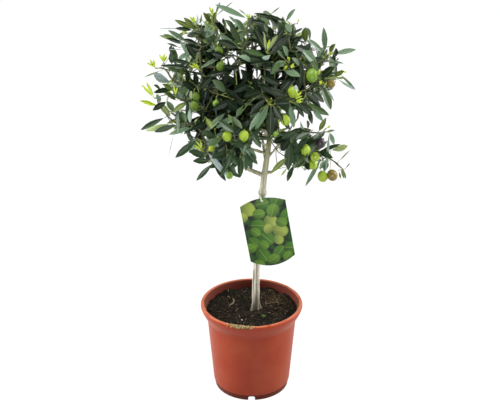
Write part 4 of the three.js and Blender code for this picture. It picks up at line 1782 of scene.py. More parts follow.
@dataclass
class Skeleton:
    """The twigs between the boughs and the shoots, grown step by step towards the shoots' feet."""

    step: float = 7 * MM
    reach: float = 10 * MM
    places: list = field(default_factory=list)
    parents: list = field(default_factory=list)

    def plant(self, path: list[Vector], parent: int = -1) -> int:
        """Adds a chain of places that growth can start from.

        Args:
            path: The places, from the oldest wood outwards.
            parent: The number of the place that the chain grows on from.

        Returns:
            The number of its last place.
        """
        for place in path:
            self.places.append(np.array(place))
            self.parents.append(parent)
            parent = len(self.places) - 1
        return parent

    def grow(self, targets: np.ndarray, rounds: int = 120) -> np.ndarray:
        """Grows towards the targets until each is within reach.

        Args:
            targets: The shoots' feet.
            rounds: The most steps that it takes.

        Returns:
            For each target, the number of the place that it hangs on.
        """
        holder = np.full(len(targets), -1)
        for _ in range(rounds):
            open_targets = np.flatnonzero(holder < 0)
            if not len(open_targets):
                break
            places = np.array(self.places)
            gaps = np.linalg.norm(targets[open_targets, None] - places[None], axis=2)
            nearest = gaps.argmin(axis=1)
            close = gaps.min(axis=1) < self.reach
            holder[open_targets[close]] = nearest[close]
            for source in np.unique(nearest[~close]):
                pulled = targets[open_targets[~close][nearest[~close] == source]]
                ways = pulled - places[source]
                ways /= np.linalg.norm(ways, axis=1)[:, None]
                mean = ways.mean(axis=0)
                if np.linalg.norm(mean) < 0.3:
                    mean = ways[0]
                self.places.append(places[source] + mean / np.linalg.norm(mean) * self.step)
                self.parents.append(int(source))
        late = np.flatnonzero(holder < 0)
        if len(late):
            gaps = np.linalg.norm(targets[late, None] - np.array(self.places)[None], axis=2)
            holder[late] = gaps.argmin(axis=1)
        return holder

    def load(self, holders: np.ndarray) -> np.ndarray:
        """How many shoots each place carries, itself and all beyond it.

        Args:
            holders: The place that each shoot hangs on.

        Returns:
            The count at each place.
        """
        carried = np.bincount(holders, minlength=len(self.places)).astype(float)
        for i in range(len(self.places) - 1, -1, -1):
            if self.parents[i] >= 0:
                carried[self.parents[i]] += carried[i]
        return carried

    def relax(self, fixed: int, rounds: int = 6) -> None:
        """Evens out the kinks of all places past the first few, which stay fixed.

        Args:
            fixed: How many places stay.
            rounds: How often the rest are evened out.
        """
        for _ in range(rounds):
            places = np.array(self.places)
            total = places.copy()
            count = np.ones(len(places))
            for i, parent in enumerate(self.parents):
                if parent >= 0:
                    total[i] += places[parent]
                    count[i] += 1
                    total[parent] += places[i]
                    count[parent] += 1
            smooth = total / count[:, None]
            smooth[:fixed] = places[:fixed]
            self.places = list(smooth)

    def chains(self, carried: np.ndarray, fixed: int) -> list[list[int]]:
        """The twigs as chains of places, each from its fork to its end.

        Args:
            carried: How many shoots each place carries.
            fixed: How many places are boughs already.

        Returns:
            The chains, as numbers of places.
        """
        children: dict[int, list[int]] = {}
        for i, parent in enumerate(self.parents):
            if carried[i] > 0 and i >= fixed and parent >= 0:
                children.setdefault(parent, []).append(i)
        chains = []
        for parent, found in children.items():
            main = max(found, key=lambda i: carried[i])
            for child in found:
                if child == main and parent >= fixed:
                    continue
                chain = [parent, child]
                while chain[-1] in children:
                    chain.append(max(children[chain[-1]], key=lambda i: carried[i]))
                chains.append(chain)
        return chains


class FruitColor(Enum):
    """The plain colours of the olives and of their stalks."""

    LIME = PlainFinish("olive_lime", srgb(146, 172, 38), 0.32, 0.5)
    GREEN = PlainFinish("olive_green", srgb(108, 142, 34), 0.32, 0.5)
    SHADED = PlainFinish("olive_shaded", srgb(84, 108, 28), 0.45, 0.25)
    RUSTY = PlainFinish("olive_rusty", srgb(122, 106, 44), 0.32, 0.5)
    PURPLE = PlainFinish("olive_purple", srgb(48, 34, 46), 0.3, 0.5)
    STALK = PlainFinish("fruit_stalk", srgb(140, 152, 72), 0.6, 0.4)


# The olives that show in front: view point and radius.
OLIVES = {
    FruitColor.LIME: (
        (293, 92, 5.1), (243.9, 135.7, 4.9), (227, 136.2, 4.6), (285.3, 120.2, 4.8), (305.4, 149.8, 5.3),
        (315, 156.6, 4.6), (312.8, 164.4, 4.6), (322.7, 176.4, 5.4),
    ),
    FruitColor.GREEN: (
        (312, 75.5, 6), (215.9, 103.6, 3.1), (229.5, 175.5, 3.5), (275.9, 134, 2.6),
    ),
    FruitColor.SHADED: ((196, 96.5, 3.8), (194.5, 105.5, 4.2), (219, 51.4, 4.1), (220.6, 66.3, 4.3)),
    FruitColor.RUSTY: ((331, 83.7, 4.2), (332.3, 175.2, 5.5)),
    FruitColor.PURPLE: ((320, 143, 4.8),),
}  # fmt: skip


@dataclass
class Olive:
    """One olive: its middle, its radius across, its lean and its colour."""

    middle: Vector
    radius: float
    lean: Vector
    color: FruitColor

    STRETCH: ClassVar[float] = 1.16  # its length as a share of its width

    @property
    def top(self) -> Vector:
        """Where its stalk begins, just under its upper end."""
        return self.middle + self.lean * self.radius * 1.14

    @property
    def hook(self) -> Vector:
        """The place above it at which its stalk turns off to the twig."""
        return self.top + self.lean * 4 * MM


@dataclass
class Crown:
    """The head of foliage: twigs, leafy shoots and olives, grown through the masses' space."""

    wood: Wood
    seed: int = 7
    surface_gap: float = 21 * MM  # between the tips of neighbouring shoots
    surface_tries: int = 240
    inner_shoots: int = 170
    inner_tries: int = 5000
    inner_span: Triple = (140, 125, 120)  # how far from the crown's centre they may be, in millimetres
    inner_depth: float = 22 * MM  # and how deep under its surface they are at least
    ball: float = 60 * MM  # radius of the ball with as many surface points as are asked for
    tip_depth: float = 16 * MM  # of a shoot's tip under the mass's surface
    shoot_length: tuple[float, float] = (50 * MM, 82 * MM)
    twig_tip: float = 0.5 * MM  # radius of the thinnest twigs
    twig_most: float = 1.5 * MM  # and of the thickest
    middle: tuple[float, float] = (250.0, 92.0)  # the crown's middle as a view point
    spread: tuple[float, float] = (106.0, 92.0)  # and how far it reaches from there
    front: float = -116 * MM  # Y of the crown's front
    edge: float = -14 * MM  # Y of its outline
    tip_back: float = 46 * MM  # how far the outline's top lies behind its middle, as seen from above
    back: float = 175 * MM  # Y that the filling stays in front of
    behind: float = 14 * MM  # how far the filling stays behind the leaves that show in front
    stem_reach: float = 5.0  # view points within which a leaf hangs on a front twig
    stem_lift: float = -4 * MM  # how far the front twigs lie before the crown's front, so just within
    frost_lift: float = 14 * MM  # and how far the palest leaves do
    olive_count: int = 45
    olive_gap: float = 24 * MM
    blade_share: float = 0.85  # of a measured width, which takes in a soft edge
    blade_length: float = 38 * MM  # of a wide leaf at least, so that a short view of it points forwards
    blade_reach: float = 22 * MM  # how far its tip then comes forwards at most
    stoutest: float = 0.3  # a leaf's width at most, as a share of its length, bar one view point

    def __post_init__(self) -> None:
        """Gathers the masses and starts the random draws."""
        self.random = random.Random(self.seed)
        self.masses = sorted(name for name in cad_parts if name.startswith("foliage_"))
        self.trees = []
        for name in self.masses:
            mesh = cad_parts[name].data
            faces = [tuple(p.vertices) for p in mesh.polygons]
            self.trees.append(BVHTree.FromPolygons([v.co.copy() for v in mesh.vertices], faces))
        low = Vector(min(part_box(n)[0][i] for n in self.masses) for i in range(3))
        high = Vector(max(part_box(n)[1][i] for n in self.masses) for i in range(3))
        self.centre = (low + high) / 2
        self.skeleton = Skeleton()
        self.shoots: list[Shoot] = []
        self.leaves: list[Leaf] = []
        self.olives: list[Olive] = []
        self.twigs = MeshSoup()

    # ---- where things may be

    def inside(self, place: Vector, depth: float = 0.0) -> bool:
        """Whether a place is inside a mass, and at least that deep under its surface.

        Args:
            place: The place.
            depth: The depth.

        Returns:
            Whether it is.
        """
        for tree in self.trees:
            spot, normal, _, gap = tree.find_nearest(place)
            if spot is not None and (place - spot).dot(normal) < 0 and gap >= depth:
                return True
        return False

    def front_depth(self, across: float, down: float) -> float:
        """Y of the crown's front where it shows at a view point.

        Args:
            across: How far across the view.
            down: How far down it.

        Returns:
            The Y there.
        """
        u = (across - self.middle[0]) / self.spread[0]
        v = (down - self.middle[1]) / self.spread[1]
        depth = lerp(self.edge, self.front, math.sqrt(max(0.0, 1 - u * u - v * v)))
        return depth - max(-1.0, min(1.0, v)) * self.tip_back

    def at_front(self, across: float, down: float, nearer: float = 0.0) -> Vector:
        """The place on the crown's front that shows at a view point."""
        return VIEW.at_depth(across, down, self.front_depth(across, down) - nearer)

    def allowed(self, place: Vector, margin: float = 0.0) -> bool:
        """Whether the filling may be at a place: within the outline, and behind the front leaves.

        Args:
            place: The place.
            margin: View points that it may be outside the outline by.

        Returns:
            Whether it may be there.
        """
        seen = VIEW.project(place)
        if not in_polygon(seen, OUTLINE, margin):
            return False
        if not self.front_depth(*seen) + self.behind < place.y < self.back:
            return False
        return all((place - olive.middle).length > olive.radius + 3 * MM for olive in self.olives)

    def clear(self, start: Vector, end: Vector, width: float) -> bool:
        """Whether a leaf of that width, from start to end, leaves the patches of sky open.

        Args:
            start: The leaf's start.
            end: Its end.
            width: Its width.

        Returns:
            Whether it does.
        """
        a, b = Vector(VIEW.project(start)), Vector(VIEW.project(end))
        half = 0.4 * width / VIEW_STEP
        return all(gap_to_line(Vector((x, y)), a, b)[1] >= radius + half for x, y, radius in GAPS)

    # ---- shoots

    def surface_points(self, count: int) -> list[tuple[Vector, Vector]]:
        """Random points on the outside of the masses, with the way that the surface faces.

        Args:
            count: How many are tried on a mass with as much surface as the ball.

        Returns:
            Each point with its direction, in random order.
        """
        found = []
        for name in self.masses:
            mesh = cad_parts[name].data
            areas = [p.area for p in mesh.polygons]
            share = sum(areas) / (4 * math.pi * self.ball**2)
            for face in self.random.choices(list(mesh.polygons), areas, k=int(count * share)):
                a, b, c = (mesh.vertices[i].co for i in face.vertices[:3])
                u, v = sorted((self.random.random(), self.random.random()))
                place = a * u + b * (v - u) + c * (1 - v)
                if not self.inside(place + face.normal * 6 * MM):
                    found.append((place, face.normal.copy()))
        self.random.shuffle(found)
        return found

    def spread_shoots(self) -> None:
        """Sets shoots all over the crown."""
        tips: list[Vector] = []
        for place, normal in self.surface_points(self.surface_tries):
            if any((place - tip).length < self.surface_gap for tip in tips):
                continue
            out = (place - self.centre).normalized()
            stray = Vector(self.random.uniform(-1, 1) for _ in range(3))
            lift = 0.45 if normal.z > -0.3 else 0.0
            way = (normal * 0.5 + out * 0.5 + UP * lift + stray * 0.4).normalized()
            tip = place - normal * self.tip_depth
            length = self.random.uniform(*self.shoot_length)
            if not self.inside(tip - way * length):
                way = out
            foot = tip - way * length
            if not self.inside(foot) or not self.allowed(foot, 1.0) or not self.allowed(tip, 3.0):
                continue
            if not self.clear(foot, tip, 0.0):
                continue
            age = pick(self.random, {Age.MATURE: 84, Age.TIPPED: 15, Age.NEW: 1})
            bow, leaf, gap = (self.random.uniform(*span) for span in ((-0.05, 0.14), (38, 52), (10.5, 14)))
            self.shoots.append(Shoot(foot, tip, age, bow, leaf * MM, gap * MM))
            tips.append(place)

    def fill_inside(self) -> None:
        """Sets shoots inside the crown."""
        wanted = len(self.shoots) + self.inner_shoots
        for _ in range(self.inner_tries):
            if len(self.shoots) == wanted:
                break
            place = self.centre + Vector(self.random.uniform(-s, s) * MM for s in self.inner_span)
            if not self.inside(place, self.inner_depth) or not self.allowed(place):
                continue
            way = ((place - self.centre).normalized() + UP * 0.5).normalized()
            length = self.random.uniform(45, 70) * MM
            foot = place - way * length
            if self.clear(foot, place, 0.0):
                self.shoots.append(Shoot(foot, place, leaf=44 * MM, gap=11 * MM))

    # ---- leaves

    def beside_stem(self, across: float, down: float) -> Vector | None:
        """The place of a leaf's foot beside the nearest front twig, or None far from them all.

        Args:
            across: How far across the view.
            down: How far down it.

        Returns:
            The place, or None.
        """
        spot = Vector((across, down))
        spans = [span for stem in STEMS for span in zip(stem, stem[1:])]
        found = [gap_to_line(spot, Vector(start), Vector(end)) for start, end in spans]
        near, gap = min(found, key=lambda pair: pair[1])
        if gap >= self.stem_reach:
            return None
        return VIEW.at_depth(across, down, self.at_front(*near, self.stem_lift).y)

    def place_blades(self) -> list[Leaf]:
        """Makes the leaves that show in front, from their view points.

        Returns:
            The leaves.
        """
        blades = []
        for look, rows in BLADES.items():
            turned = look in (Look.BACK, Look.FROST, Look.PALE)
            lift = self.frost_lift if look is Look.FROST else 0
            lean = 0.55 if look in (Look.GREY, Look.GREEN, Look.BACK) else 0.2
            for x0, y0, x1, y1, wide in self.parted(rows) if look is Look.LIME else rows:
                nearer = lift or self.random.uniform(-8, 8) * MM
                foot = self.beside_stem(x0, y0) or self.at_front(x0, y0, nearer)
                long = math.hypot(x1 - x0, y1 - y0)
                wide = min(wide, self.stoutest * long + 1.0)
                seen = long * VIEW_STEP
                full = max(seen, self.blade_length) if wide > 3.2 else seen
                reach = math.sqrt(max(0.0, full**2 - seen**2)) * 0.8
                tip = VIEW.at_depth(x1, y1, foot.y - min(reach, self.blade_reach) - lift)
                way = (tip - foot).normalized()
                to_view = (VIEW.eye - foot).normalized()
                stray = Vector((self.random.uniform(-0.4, 0.4), 0.0, 0.0))
                face = perpendicular(way, to_view + UP * lean + stray)
                width = wide * VIEW_STEP * self.blade_share / max(0.6, face.dot(to_view))
                shown = look
                # Leaves in the shaded places take painted shade, and dark leaves low in the view take
                # painted light.
                if look is Look.DARK and in_shade((x0 + x1) / 2, (y0 + y1) / 2):
                    shown = Look.SHADED
                elif look is Look.DARK and y0 > LIT_BELOW:
                    shown = Look.LIT
                droop, fold = self.random.uniform(0.02, 0.2), self.random.uniform(0.2, 0.45)
                face = -face if turned else face
                blades.append(Leaf(foot, way, face, (tip - foot).length, width, droop, fold, *shown.value))
        return blades

    @staticmethod
    def parted(rows: tuple) -> list[tuple[float, float, float, float, float]]:
        """Makes two narrow leaves, which part towards their tips, of each short leaf of new growth.

        Args:
            rows: The leaves' rows in their table.

        Returns:
            The new rows.
        """
        narrow = []
        for x0, y0, x1, y1, wide in rows:
            if math.hypot(x1 - x0, y1 - y0) > 11:
                narrow.append((x0, y0, x1, y1, wide))
                continue
            for reach, aside in ((1.0, -0.16), (0.8, 0.26)):
                x, y = (x1 - x0) * reach, (y1 - y0) * reach
                narrow.append((x0, y0, x0 + x - y * aside, y0 + y + x * aside, wide * 0.66))
        return narrow

    def palette(self, shoot: Shoot, index: int, foot: Vector) -> tuple[LeafColor, LeafColor, LeafColor]:
        """The top, underside and rib colours of a leaf, by its shoot and its place on it.

        Args:
            shoot: The shoot.
            index: The number of the leaf's pair, counted from the tip.
            foot: Where it grows.

        Returns:
            The three colours.
        """
        if foot.y < 20 * MM and in_shade(*VIEW.project(foot)):
            return pick(self.random, {Look.SHADED: 80, Look.DARK: 14, Look.GREEN: 6}).value
        if shoot.is_new(index):
            return self.random.choice([Look.LIME, Look.OLIVE, Look.OLIVE]).value
        # Painted light: leaves low in the crown take lighter looks more often.
        low = VIEW.project(foot)[1] > LIT_BELOW
        weights = (30, 28, 30, 12) if low else (56, 18, 18, 8) if index > 1 else (40, 22, 22, 16)
        looks = dict(zip((Look.DARK, Look.GREEN, Look.GREY, Look.OLIVE), weights))
        top, under, rib = pick(self.random, looks).value
        if top is LeafColor.DEEP and self.random.random() < 0.6:
            top = LeafColor.DARK
        return top, under, rib

    def draw_pair(self, shoot: Shoot, line: list[Vector], share: float, spin: float, index: int) -> None:
        """Hangs one pair of leaves on a shoot.

        Args:
            shoot: The shoot.
            line: Points along its stem.
            share: How far along the stem the pair sits.
            spin: The pair's turn round the stem.
            index: Its number, counted from the tip.
        """
        at = min(int(share * (len(line) - 1)), len(line) - 2)
        foot = line[at].lerp(line[at + 1], share * (len(line) - 1) - at)
        stem = (line[at + 1] - line[at]).normalized()
        out = (foot - self.centre).normalized()
        across = perpendicular(stem, UP)
        aside = stem.cross(across)
        grown = min(1.0, 0.55 + 0.22 * index)
        if shoot.is_new(index):
            grown = 0.24 + 0.12 * index
        grown_sides: set[int] = set()
        for attempt in range(6):
            half = attempt % 2
            if attempt > 1 and half in grown_sides:
                continue
            turn = spin + half * math.pi + (attempt // 2) * 0.5
            away = across * math.cos(turn) + aside * math.sin(turn)
            open_angle = math.radians(min(22 + 13 * index, 58) + self.random.uniform(-10, 10))
            way = stem * math.cos(open_angle) + away * math.sin(open_angle)
            way = (way - UP * self.random.uniform(0.0, 0.25) * min(index, 2)).normalized()
            face = perpendicular(way, stem * 0.55 + UP * 0.6 + out * 0.25)
            roll = Matrix.Rotation(self.random.gauss(0, 0.4), 3, way)
            length = shoot.leaf * grown * self.random.uniform(0.82, 1.12)
            stalk = foot + way * 3 * MM
            width = length * self.random.uniform(0.2, 0.27)
            margins = (0.15, 0.0), (0.6, 1.0), (1.0, 3.0)
            if not all(self.allowed(stalk + way * length * share, margin) for share, margin in margins):
                continue
            if not self.clear(stalk, stalk + way * length, width):
                continue
            grown_sides.add(half)
            self.twigs.tube([foot, stalk], [0.55 * MM, 0.42 * MM], 4, 2)
            colors = self.palette(shoot, index, foot)
            droop, fold = self.random.uniform(0.05, 0.5), self.random.uniform(0.1, 0.35)
            start = stalk - way * 0.5 * MM
            self.leaves.append(Leaf(start, way, roll @ face, length, width, droop, fold, *colors))

    def draw_shoot(self, shoot: Shoot, holder: Vector) -> None:
        """Draws a shoot's stem and hangs its leaves on it.

        Args:
            shoot: The shoot.
            holder: The place on a twig that it grows from.
        """
        line = shoot.line(9)
        while len(line) > 3 and not self.allowed(line[-1], 1.0):
            line.pop()
        before = len(self.leaves)
        length = (line[-1] - line[0]).length
        spin = self.random.uniform(0, math.pi)
        at = length
        index = 0
        while at > length * 0.1:
            self.draw_pair(shoot, line, at / length, spin, index)
            spin += math.pi / 2 + self.random.uniform(-0.25, 0.25)
            at -= shoot.gap * self.random.uniform(0.75, 1.2) * (0.5 if index == 0 else 1.0)
            index += 1
        if len(self.leaves) == before:
            return
        stem = [holder, *line] if (holder - line[0]).length > 1 * MM else line
        radii = [lerp(1.0, 0.45, i / (len(stem) - 1)) * MM for i in range(len(stem))]
        self.twigs.tube(stem, radii, 5, 2 if shoot.age is Age.NEW else 1)

    # ---- olives

    def leaning(self, most: float) -> Vector:
        """A random direction near to straight up."""
        return Vector((self.random.uniform(-most, most), self.random.uniform(-most, most), 1.0)).normalized()

    def place_olives(self) -> None:
        """Sets the olives that show in front, and others all round."""
        for color, rows in OLIVES.items():
            for x, y, radius in rows:
                middle = self.at_front(x, y, 6 * MM)
                self.olives.append(Olive(middle, radius * VIEW_STEP * 0.97, self.leaning(0.4), color))
        colors = {FruitColor.LIME: 8, FruitColor.GREEN: 8, FruitColor.RUSTY: 2, FruitColor.PURPLE: 1}
        for place, normal in self.surface_points(60):
            if len(self.olives) >= self.olive_count:
                break
            middle = place - normal * self.random.uniform(10, 26) * MM
            crowded = any((middle - olive.middle).length < self.olive_gap for olive in self.olives)
            if crowded or middle.y < 10 * MM or not in_polygon(VIEW.project(middle), OUTLINE, -14.0):
                continue
            lean, color = self.leaning(0.5), pick(self.random, colors)
            self.olives.append(Olive(middle, self.random.uniform(6.8, 8.2) * MM, lean, color))

    def draw_olives(self, holders: np.ndarray) -> bpy.types.Object:
        """Draws the olives, each with its stalk up to the twig that holds it.

        Args:
            holders: The number of the place that holds each olive.

        Returns:
            The olives as one piece.
        """
        soup = MeshSoup()
        colors = list(FruitColor)
        for olive, holder in zip(self.olives, holders):
            side = olive.lean.orthogonal().normalized()
            other = olive.lean.cross(side)
            turn = Matrix((side, other, olive.lean)).transposed()
            ball = [turn @ Vector((x, y, z * Olive.STRETCH)) * olive.radius for x, y, z in FRUIT_POINTS]
            soup.add([olive.middle + spot for spot in ball], FRUIT_FACES, colors.index(olive.color))
            place = Vector(self.skeleton.places[holder])
            knee = place.lerp(olive.hook, 0.55) + UP * 1.5 * MM
            path = [place, knee, olive.hook, olive.top - olive.lean * 1.5 * MM]
            soup.tube(path, [0.55 * MM, 0.5 * MM, 0.5 * MM, 0.75 * MM], 5, colors.index(FruitColor.STALK))
        return soup.build("olives", [color.value for color in colors])

    # ---- twigs

    def plant_stems(self) -> None:
        """Grows to the foot of each twig that shows in front, and sets the twig there."""
        for stem in STEMS:
            line = [self.at_front(*spot, self.stem_lift) for spot in stem]
            holder = self.skeleton.grow(np.array([line[0]]))[0]
            fine = []
            for a, b in zip(line, line[1:]):
                count = max(1, round((b - a).length / self.skeleton.step))
                fine += [a.lerp(b, i / count) for i in range(count)]
            self.skeleton.plant([*fine, line[-1]], int(holder))

    def grow_twigs(self, blades: list[Leaf]) -> np.ndarray:
        """Grows the twigs from the boughs to everything that hangs on them, and draws them.

        Args:
            blades: The leaves that show in front.

        Returns:
            For each olive, the number of the place that holds it.
        """
        last = self.skeleton.plant([self.wood.middle(0.78), self.wood.middle(0.9), self.wood.fork])
        for limb in self.wood.bough_limbs():
            self.skeleton.plant(limb.path[3:], last)
        fixed = len(self.skeleton.places)
        self.plant_stems()
        feet = [piece.foot for piece in (*self.shoots, *blades)]
        holders = self.skeleton.grow(np.array(feet + [olive.hook for olive in self.olives]))
        self.skeleton.relax(fixed)
        carried = self.skeleton.load(holders)
        radius = np.minimum(self.twig_tip * np.maximum(carried, 1) ** 0.36, self.twig_most)
        for chain in self.skeleton.chains(carried, fixed):
            path = [Vector(self.skeleton.places[i]) for i in chain]
            radii = [float(radius[i]) for i in chain]
            radii[0] = min(radii[0], radii[1] * 1.1)
            thick = radii[1] > 1.2 * MM
            self.twigs.tube(path, radii, 7 if thick else 5, 0 if thick else 1)
        for shoot, holder in zip(self.shoots, holders):
            self.draw_shoot(shoot, Vector(self.skeleton.places[holder]))
        for blade, holder in zip(blades, holders[len(self.shoots):]):
            place = Vector(self.skeleton.places[holder])
            knee = blade.foot - blade.way * min(3 * MM, (place - blade.foot).length * 0.4)
            self.twigs.tube([place, knee, blade.foot + blade.way * MM], [0.6 * MM, 0.5 * MM, 0.4 * MM], 4, 2)
            self.leaves.append(blade)
        return holders[len(feet):]

    def build(self) -> None:
        """Builds, dresses and reports the crown's pieces."""
        self.place_olives()
        self.spread_shoots()
        self.fill_inside()
        fruit_holders = self.grow_twigs(self.place_blades())
        leaves = LeafMesh.build(self.leaves, "leaves")
        twigs = self.twigs.build("twigs", [TWIG_OLD, TWIG_GREEN, TWIG_NEW])
        olives = self.draw_olives(fruit_holders)
        hand_over([leaves, olives], "foliage", *self.masses)
        hand_over([twigs], "young_bark", *self.masses)
        counts = len(self.shoots), len(self.leaves), len(self.olives)
        log.info("crown: %d shoots, %d leaves, %d olives", *counts)


def in_shade(across: float, down: float) -> bool:
    """Whether a view point lies where the filling is in deep shade."""
    return any(math.hypot(across - x, down - y) < radius for x, y, radius in SHADES)


def in_polygon(spot: tuple[float, float], corners: tuple, margin: float = 0.0) -> bool:
    """Whether a point lies in a polygon, or within margin of its edge.

    Args:
        spot: The point.
        corners: The polygon's corners in order.
        margin: How far outside the edge still counts, or below 0, how far inside it must be.

    Returns:
        Whether it does.
    """
    within = False
    nearest = math.inf
    x, y = spot
    for i, (x1, y1) in enumerate(corners):
        x0, y0 = corners[i - 1]
        if (y0 > y) != (y1 > y) and x < (x1 - x0) * (y - y0) / (y1 - y0) + x0:
            within = not within
        nearest = min(nearest, gap_to_line(Vector(spot), Vector((x0, y0)), Vector((x1, y1)))[1])
    return (within or nearest < margin) and (margin >= 0 or nearest > -margin)


def sphere_mesh(rings: int, sides: int) -> tuple[list[Triple], list[tuple[int, ...]]]:
    """A unit ball of rings and sides.

    Args:
        rings: How many bands it has from pole to pole.
        sides: How many sides each band has.

    Returns:
        Its corners and its faces.
    """
    points = [(0.0, 0.0, -1.0)]
    for i in range(1, rings):
        tilt = math.pi * i / rings - math.pi / 2
        for k in range(sides):
            turn = 2 * math.pi * k / sides
            points.append((math.cos(tilt) * math.cos(turn), math.cos(tilt) * math.sin(turn), math.sin(tilt)))
    points.append((0.0, 0.0, 1.0))
    top = len(points) - 1
    faces = [(0, 1 + (k + 1) % sides, 1 + k) for k in range(sides)]
    faces += [tuple(1 + i for i in face) for face in hoops(rings - 2, rings - 1, sides)]
    last = 1 + (rings - 2) * sides
    faces += [(last + k, last + (k + 1) % sides, top) for k in range(sides)]
    return points, faces


FRUIT_POINTS, FRUIT_FACES = sphere_mesh(12, 18)


# ---- the label


@dataclass
class CardLabel:
    """The printed card, curled about its length and tilted, and the tie that holds it."""

    MAP_NAME = "print"

    wood: Wood
    width: float = 78 * MM
    side: float = 104 * MM
    arch: float = 11.5 * MM
    thickness: float = 0.7 * MM
    curl: float = 190 * MM
    tilt: float = math.radians(10)
    centre: Vector = field(default_factory=lambda: Vector((27.5, -13.0, 303.6)) * MM)
    hole_radius: float = 2.6 * MM
    hole_inset: float = 6 * MM
    columns: int = 40
    rows: int = 56
    seed: int = 5
    tie_height: float = 371 * MM
    tie_slack: float = 1.9 * MM  # between the tie's middle and the bark
    tie_radius: float = 0.85 * MM
    tie_steps: int = 96
    # The tie's way through the card's hole, from in front to behind, in millimetres from the hole.
    threaded: tuple = ((1.2, 3.6, 0.4), (0.0, 0.5, 0.6), (-1.2, -2.0, 1.6), (-2.4, -1.6, 7.5))

    @property
    def hole_rise(self) -> float:
        """How far the hole sits above the card's middle."""
        return self.side / 2 + self.arch - self.hole_inset

    def place(self, across: float, up: float, out: float) -> Vector:
        """A point of the curled, tilted card, from flat card coordinates.

        Args:
            across: How far right of the card's middle.
            up: How far above it.
            out: How far in front of it.

        Returns:
            The point.
        """
        turn = across / self.curl
        curled = Vector((self.curl * math.sin(turn), self.curl * (1 - math.cos(turn)) - out, up))
        return Matrix.Rotation(-self.tilt, 3, "Y") @ curled + self.centre

    def build_card(self) -> bpy.types.Object:
        """Makes the flat card, arches its ends, punches its hole, and curls and tilts it.

        Returns:
            The card.
        """
        deselect_all()
        bpy.ops.mesh.primitive_grid_add(x_subdivisions=self.columns, y_subdivisions=self.rows, size=1.0)
        card = bpy.context.object
        for vertex in card.data.vertices:
            across, up = vertex.co.x * 2, vertex.co.y * 2
            reach = self.side / 2 + self.arch * (1 - across**2)
            vertex.co = Vector((across * self.width / 2, up * reach, 0.0))
        card.data.update()
        apply_modifier(card, "SOLIDIFY", thickness=self.thickness, offset=-1.0)
        bpy.ops.mesh.primitive_cylinder_add(
            vertices=32, radius=self.hole_radius, depth=10 * MM, location=(0, self.hole_rise, 0)
        )
        punch = bpy.context.object
        apply_modifier(card, "BOOLEAN", operation="DIFFERENCE", object=punch, solver="EXACT")
        bpy.data.objects.remove(punch)
        flat = [v.co.copy() for v in card.data.vertices]
        layer = card.data.uv_layers.active or card.data.uv_layers.new(name=self.MAP_NAME)
        layer.name = self.MAP_NAME
        for loop in card.data.loops:
            layer.data[loop.index].uv = (flat[loop.vertex_index].x / MM, flat[loop.vertex_index].y / MM)
        for vertex, spot in zip(card.data.vertices, flat):
            vertex.co = self.place(spot.x, spot.y, spot.z)
        return card

    def build_tie(self) -> bpy.types.Object:
        """Makes the thin tie, through the hole and round the trunk.

        Returns:
            The tie.
        """
        share = (self.tie_height - self.wood.base) / self.wood.height
        reach = self.wood.girth(share) + self.tie_slack
        hole = self.place(0.0, self.hole_rise, 0.0)
        path = [hole + Vector(offset) * MM for offset in self.threaded]
        for bearing in (200, 155, 110, 70, 25, -20):
            way = heading(bearing)
            path.append(self.wood.middle(share) + way * reach + UP * 2 * MM * way.y)
        closed = [path[-1], *path, path[0], path[1]]
        steps, spans = self.tie_steps, len(closed) - 1
        line = [catmull(closed, lerp(1, len(path) + 1, i / steps) / spans) for i in range(steps)]
        soup = MeshSoup()
        soup.ring(line, UP + Vector((0.3, 0.2, 0.0)), self.tie_radius, 10)
        return soup.build("tie", [PlainFinish("tie_white", srgb(226, 224, 214), 0.35)])

    def motifs(self) -> tuple[PrintedLeaf, ...]:
        """The printed leaves: two leaning sprays of round leaves, the front ones brighter.

        Returns:
            The printed leaves, from the back to the front.
        """
        draw = random.Random(self.seed)
        tints = (srgb(124, 156, 42), srgb(93, 137, 33), srgb(70, 118, 27), srgb(152, 168, 72))
        leaves = []
        for layer, (count, size) in enumerate(((12, 12.0), (12, 10.0))):
            for i in range(count):
                row, column = divmod(i, 3)
                across = (column - 1) * 25 + (12 if row % 2 else -2) + draw.uniform(-3, 3) - layer * 9
                up = 46 - row * 30 + column * 5 + draw.uniform(-3, 3) - layer * 15
                tint = tints[(i * 2 + layer) % 2 + (2 if layer == 0 else 0)] if i % 4 else tints[3]
                radius, turn = size + draw.uniform(-1.5, 1.2), draw.uniform(-1.2, 1.2)
                leaves.append(PrintedLeaf(across, up, radius, turn, tint))
        return tuple(leaves)

    def build(self) -> None:
        """Builds, dresses and reports the label and its tie."""
        card = self.build_card()
        finish = PrintedCardFinish(
            "printed_card", self.motifs(), srgb(8, 22, 10), srgb(32, 76, 24), srgb(160, 174, 92)
        )
        card.data.materials.clear()
        card.data.materials.append(finish.material())
        settle(card, "label_card")
        bpy.ops.object.shade_smooth_by_angle(angle=math.radians(40))
        hand_over([card], "printed_card", "label")
        hand_over([self.build_tie()], "tie_plastic", "label_tie")


# ---- the stage


@dataclass(frozen=True)
class Lamp:
    """One soft square lamp, turned to a height on the tree's axis."""

    place: Triple
    size: float
    power: float
    aim: float = 0.45
    spread: float = 180.0  # degrees that its light fans out over


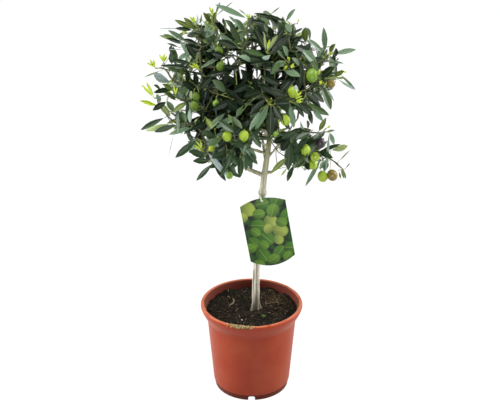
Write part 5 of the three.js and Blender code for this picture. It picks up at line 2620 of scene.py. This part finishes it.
@dataclass
class Studio:
    """A plain white floor and soft white light, from both sides, above and low in front."""

    WHITE = (1.0, 1.0, 1.0, 1.0)
    SKY = (0.97, 0.985, 1.0, 1.0)

    lamps: tuple[Lamp, ...] = (
        Lamp((-2.0, 0.2, 1.2), 1.5, 62.0),
        Lamp((2.0, 0.3, 1.2), 1.5, 54.0),
        Lamp((-0.2, -0.7, 2.5), 1.1, 42.0),
        Lamp((0.1, -1.4, 0.3), 0.4, 0.3, 0.44, 20.0),
    )
    floor_size: float = 14.0
    floor_tone: float = 0.45  # how much of its light the floor throws back
    floor_white: float = 0.9  # share of plain white in what is seen of the floor
    front_light: float = 0.2  # brightness of the surround in front
    back_light: float = 0.7  # and behind
    front_reach: float = -0.9  # Y of a direction at which it begins to brighten
    back_reach: float = 0.6  # and at which it is brightest

    def build_floor(self) -> None:
        """Lays the floor, which lights the tree less than its white look would."""
        deselect_all()
        bpy.ops.mesh.primitive_plane_add(size=self.floor_size)
        floor = bpy.context.object
        floor.name = "floor"
        recipe = Recipe("floor_white")
        tone = self.floor_tone
        recipe.surface(Base_Color=(tone, tone, tone, 1.0), Roughness=0.9, Specular_IOR_Level=0.0)
        plain = recipe.shader.outputs[0]
        glow = recipe.add("Emission", {"Color": self.WHITE, "Strength": 1.1})
        seen = recipe.add("MixShader", {0: self.floor_white, 1: plain, 2: glow.outputs[0]})
        recipe.show_apart(plain, seen.outputs[0], "Material Output")
        floor.data.materials.append(recipe.material)

    def build_lamps(self) -> None:
        """Hangs the lamps, three wide ones and a narrow one on the stem."""
        for lamp in self.lamps:
            deselect_all()
            bpy.ops.object.light_add(type="AREA", location=lamp.place)
            light = bpy.context.object
            light.data.size = lamp.size
            light.data.energy = lamp.power
            light.data.spread = math.radians(lamp.spread)
            aim = Vector((0.0, 0.0, lamp.aim)) - Vector(lamp.place)
            light.rotation_euler = aim.to_track_quat("-Z", "Y").to_euler()

    def build_surround(self) -> None:
        """Makes the surround white where it is seen; as light it is dim in front and bright behind."""
        world = bpy.data.worlds.new("surround")
        bpy.context.scene.world = world
        wiring = Wiring(world)
        sky = wiring.tree.nodes["Background"]
        direction = wiring.add("TexCoord", {}).outputs["Generated"]
        inputs = {
            "Value": wiring.add("SeparateXYZ", {0: direction}).outputs[1],
            "From Min": self.front_reach,
            "From Max": self.back_reach,
            "To Min": self.front_light,
            "To Max": self.back_light,
        }
        wiring.feed(sky.inputs["Color"], self.SKY)
        wiring.feed(sky.inputs["Strength"], wiring.add("MapRange", inputs).outputs[0])
        seen = wiring.add("Background", {"Color": self.WHITE})
        wiring.show_apart(sky.outputs[0], seen.outputs[0], "World Output")

    def build(self) -> None:
        """Sets the whole stage."""
        self.build_floor()
        self.build_lamps()
        self.build_surround()
        bpy.context.scene.view_settings.view_transform = "Standard"


# ---- the tree


def main() -> None:
    """Builds the tree and its stage."""
    logging.basicConfig(level=logging.INFO, format="%(message)s", force=True)
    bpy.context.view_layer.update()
    VIEW.place_camera()
    Studio().build()
    NurseryPot().build()
    Compost().build()
    wood = Wood()
    wood.build()
    Crown(wood).build()
    CardLabel(wood).build()
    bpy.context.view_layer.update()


if __name__ == "__main__":
    main()
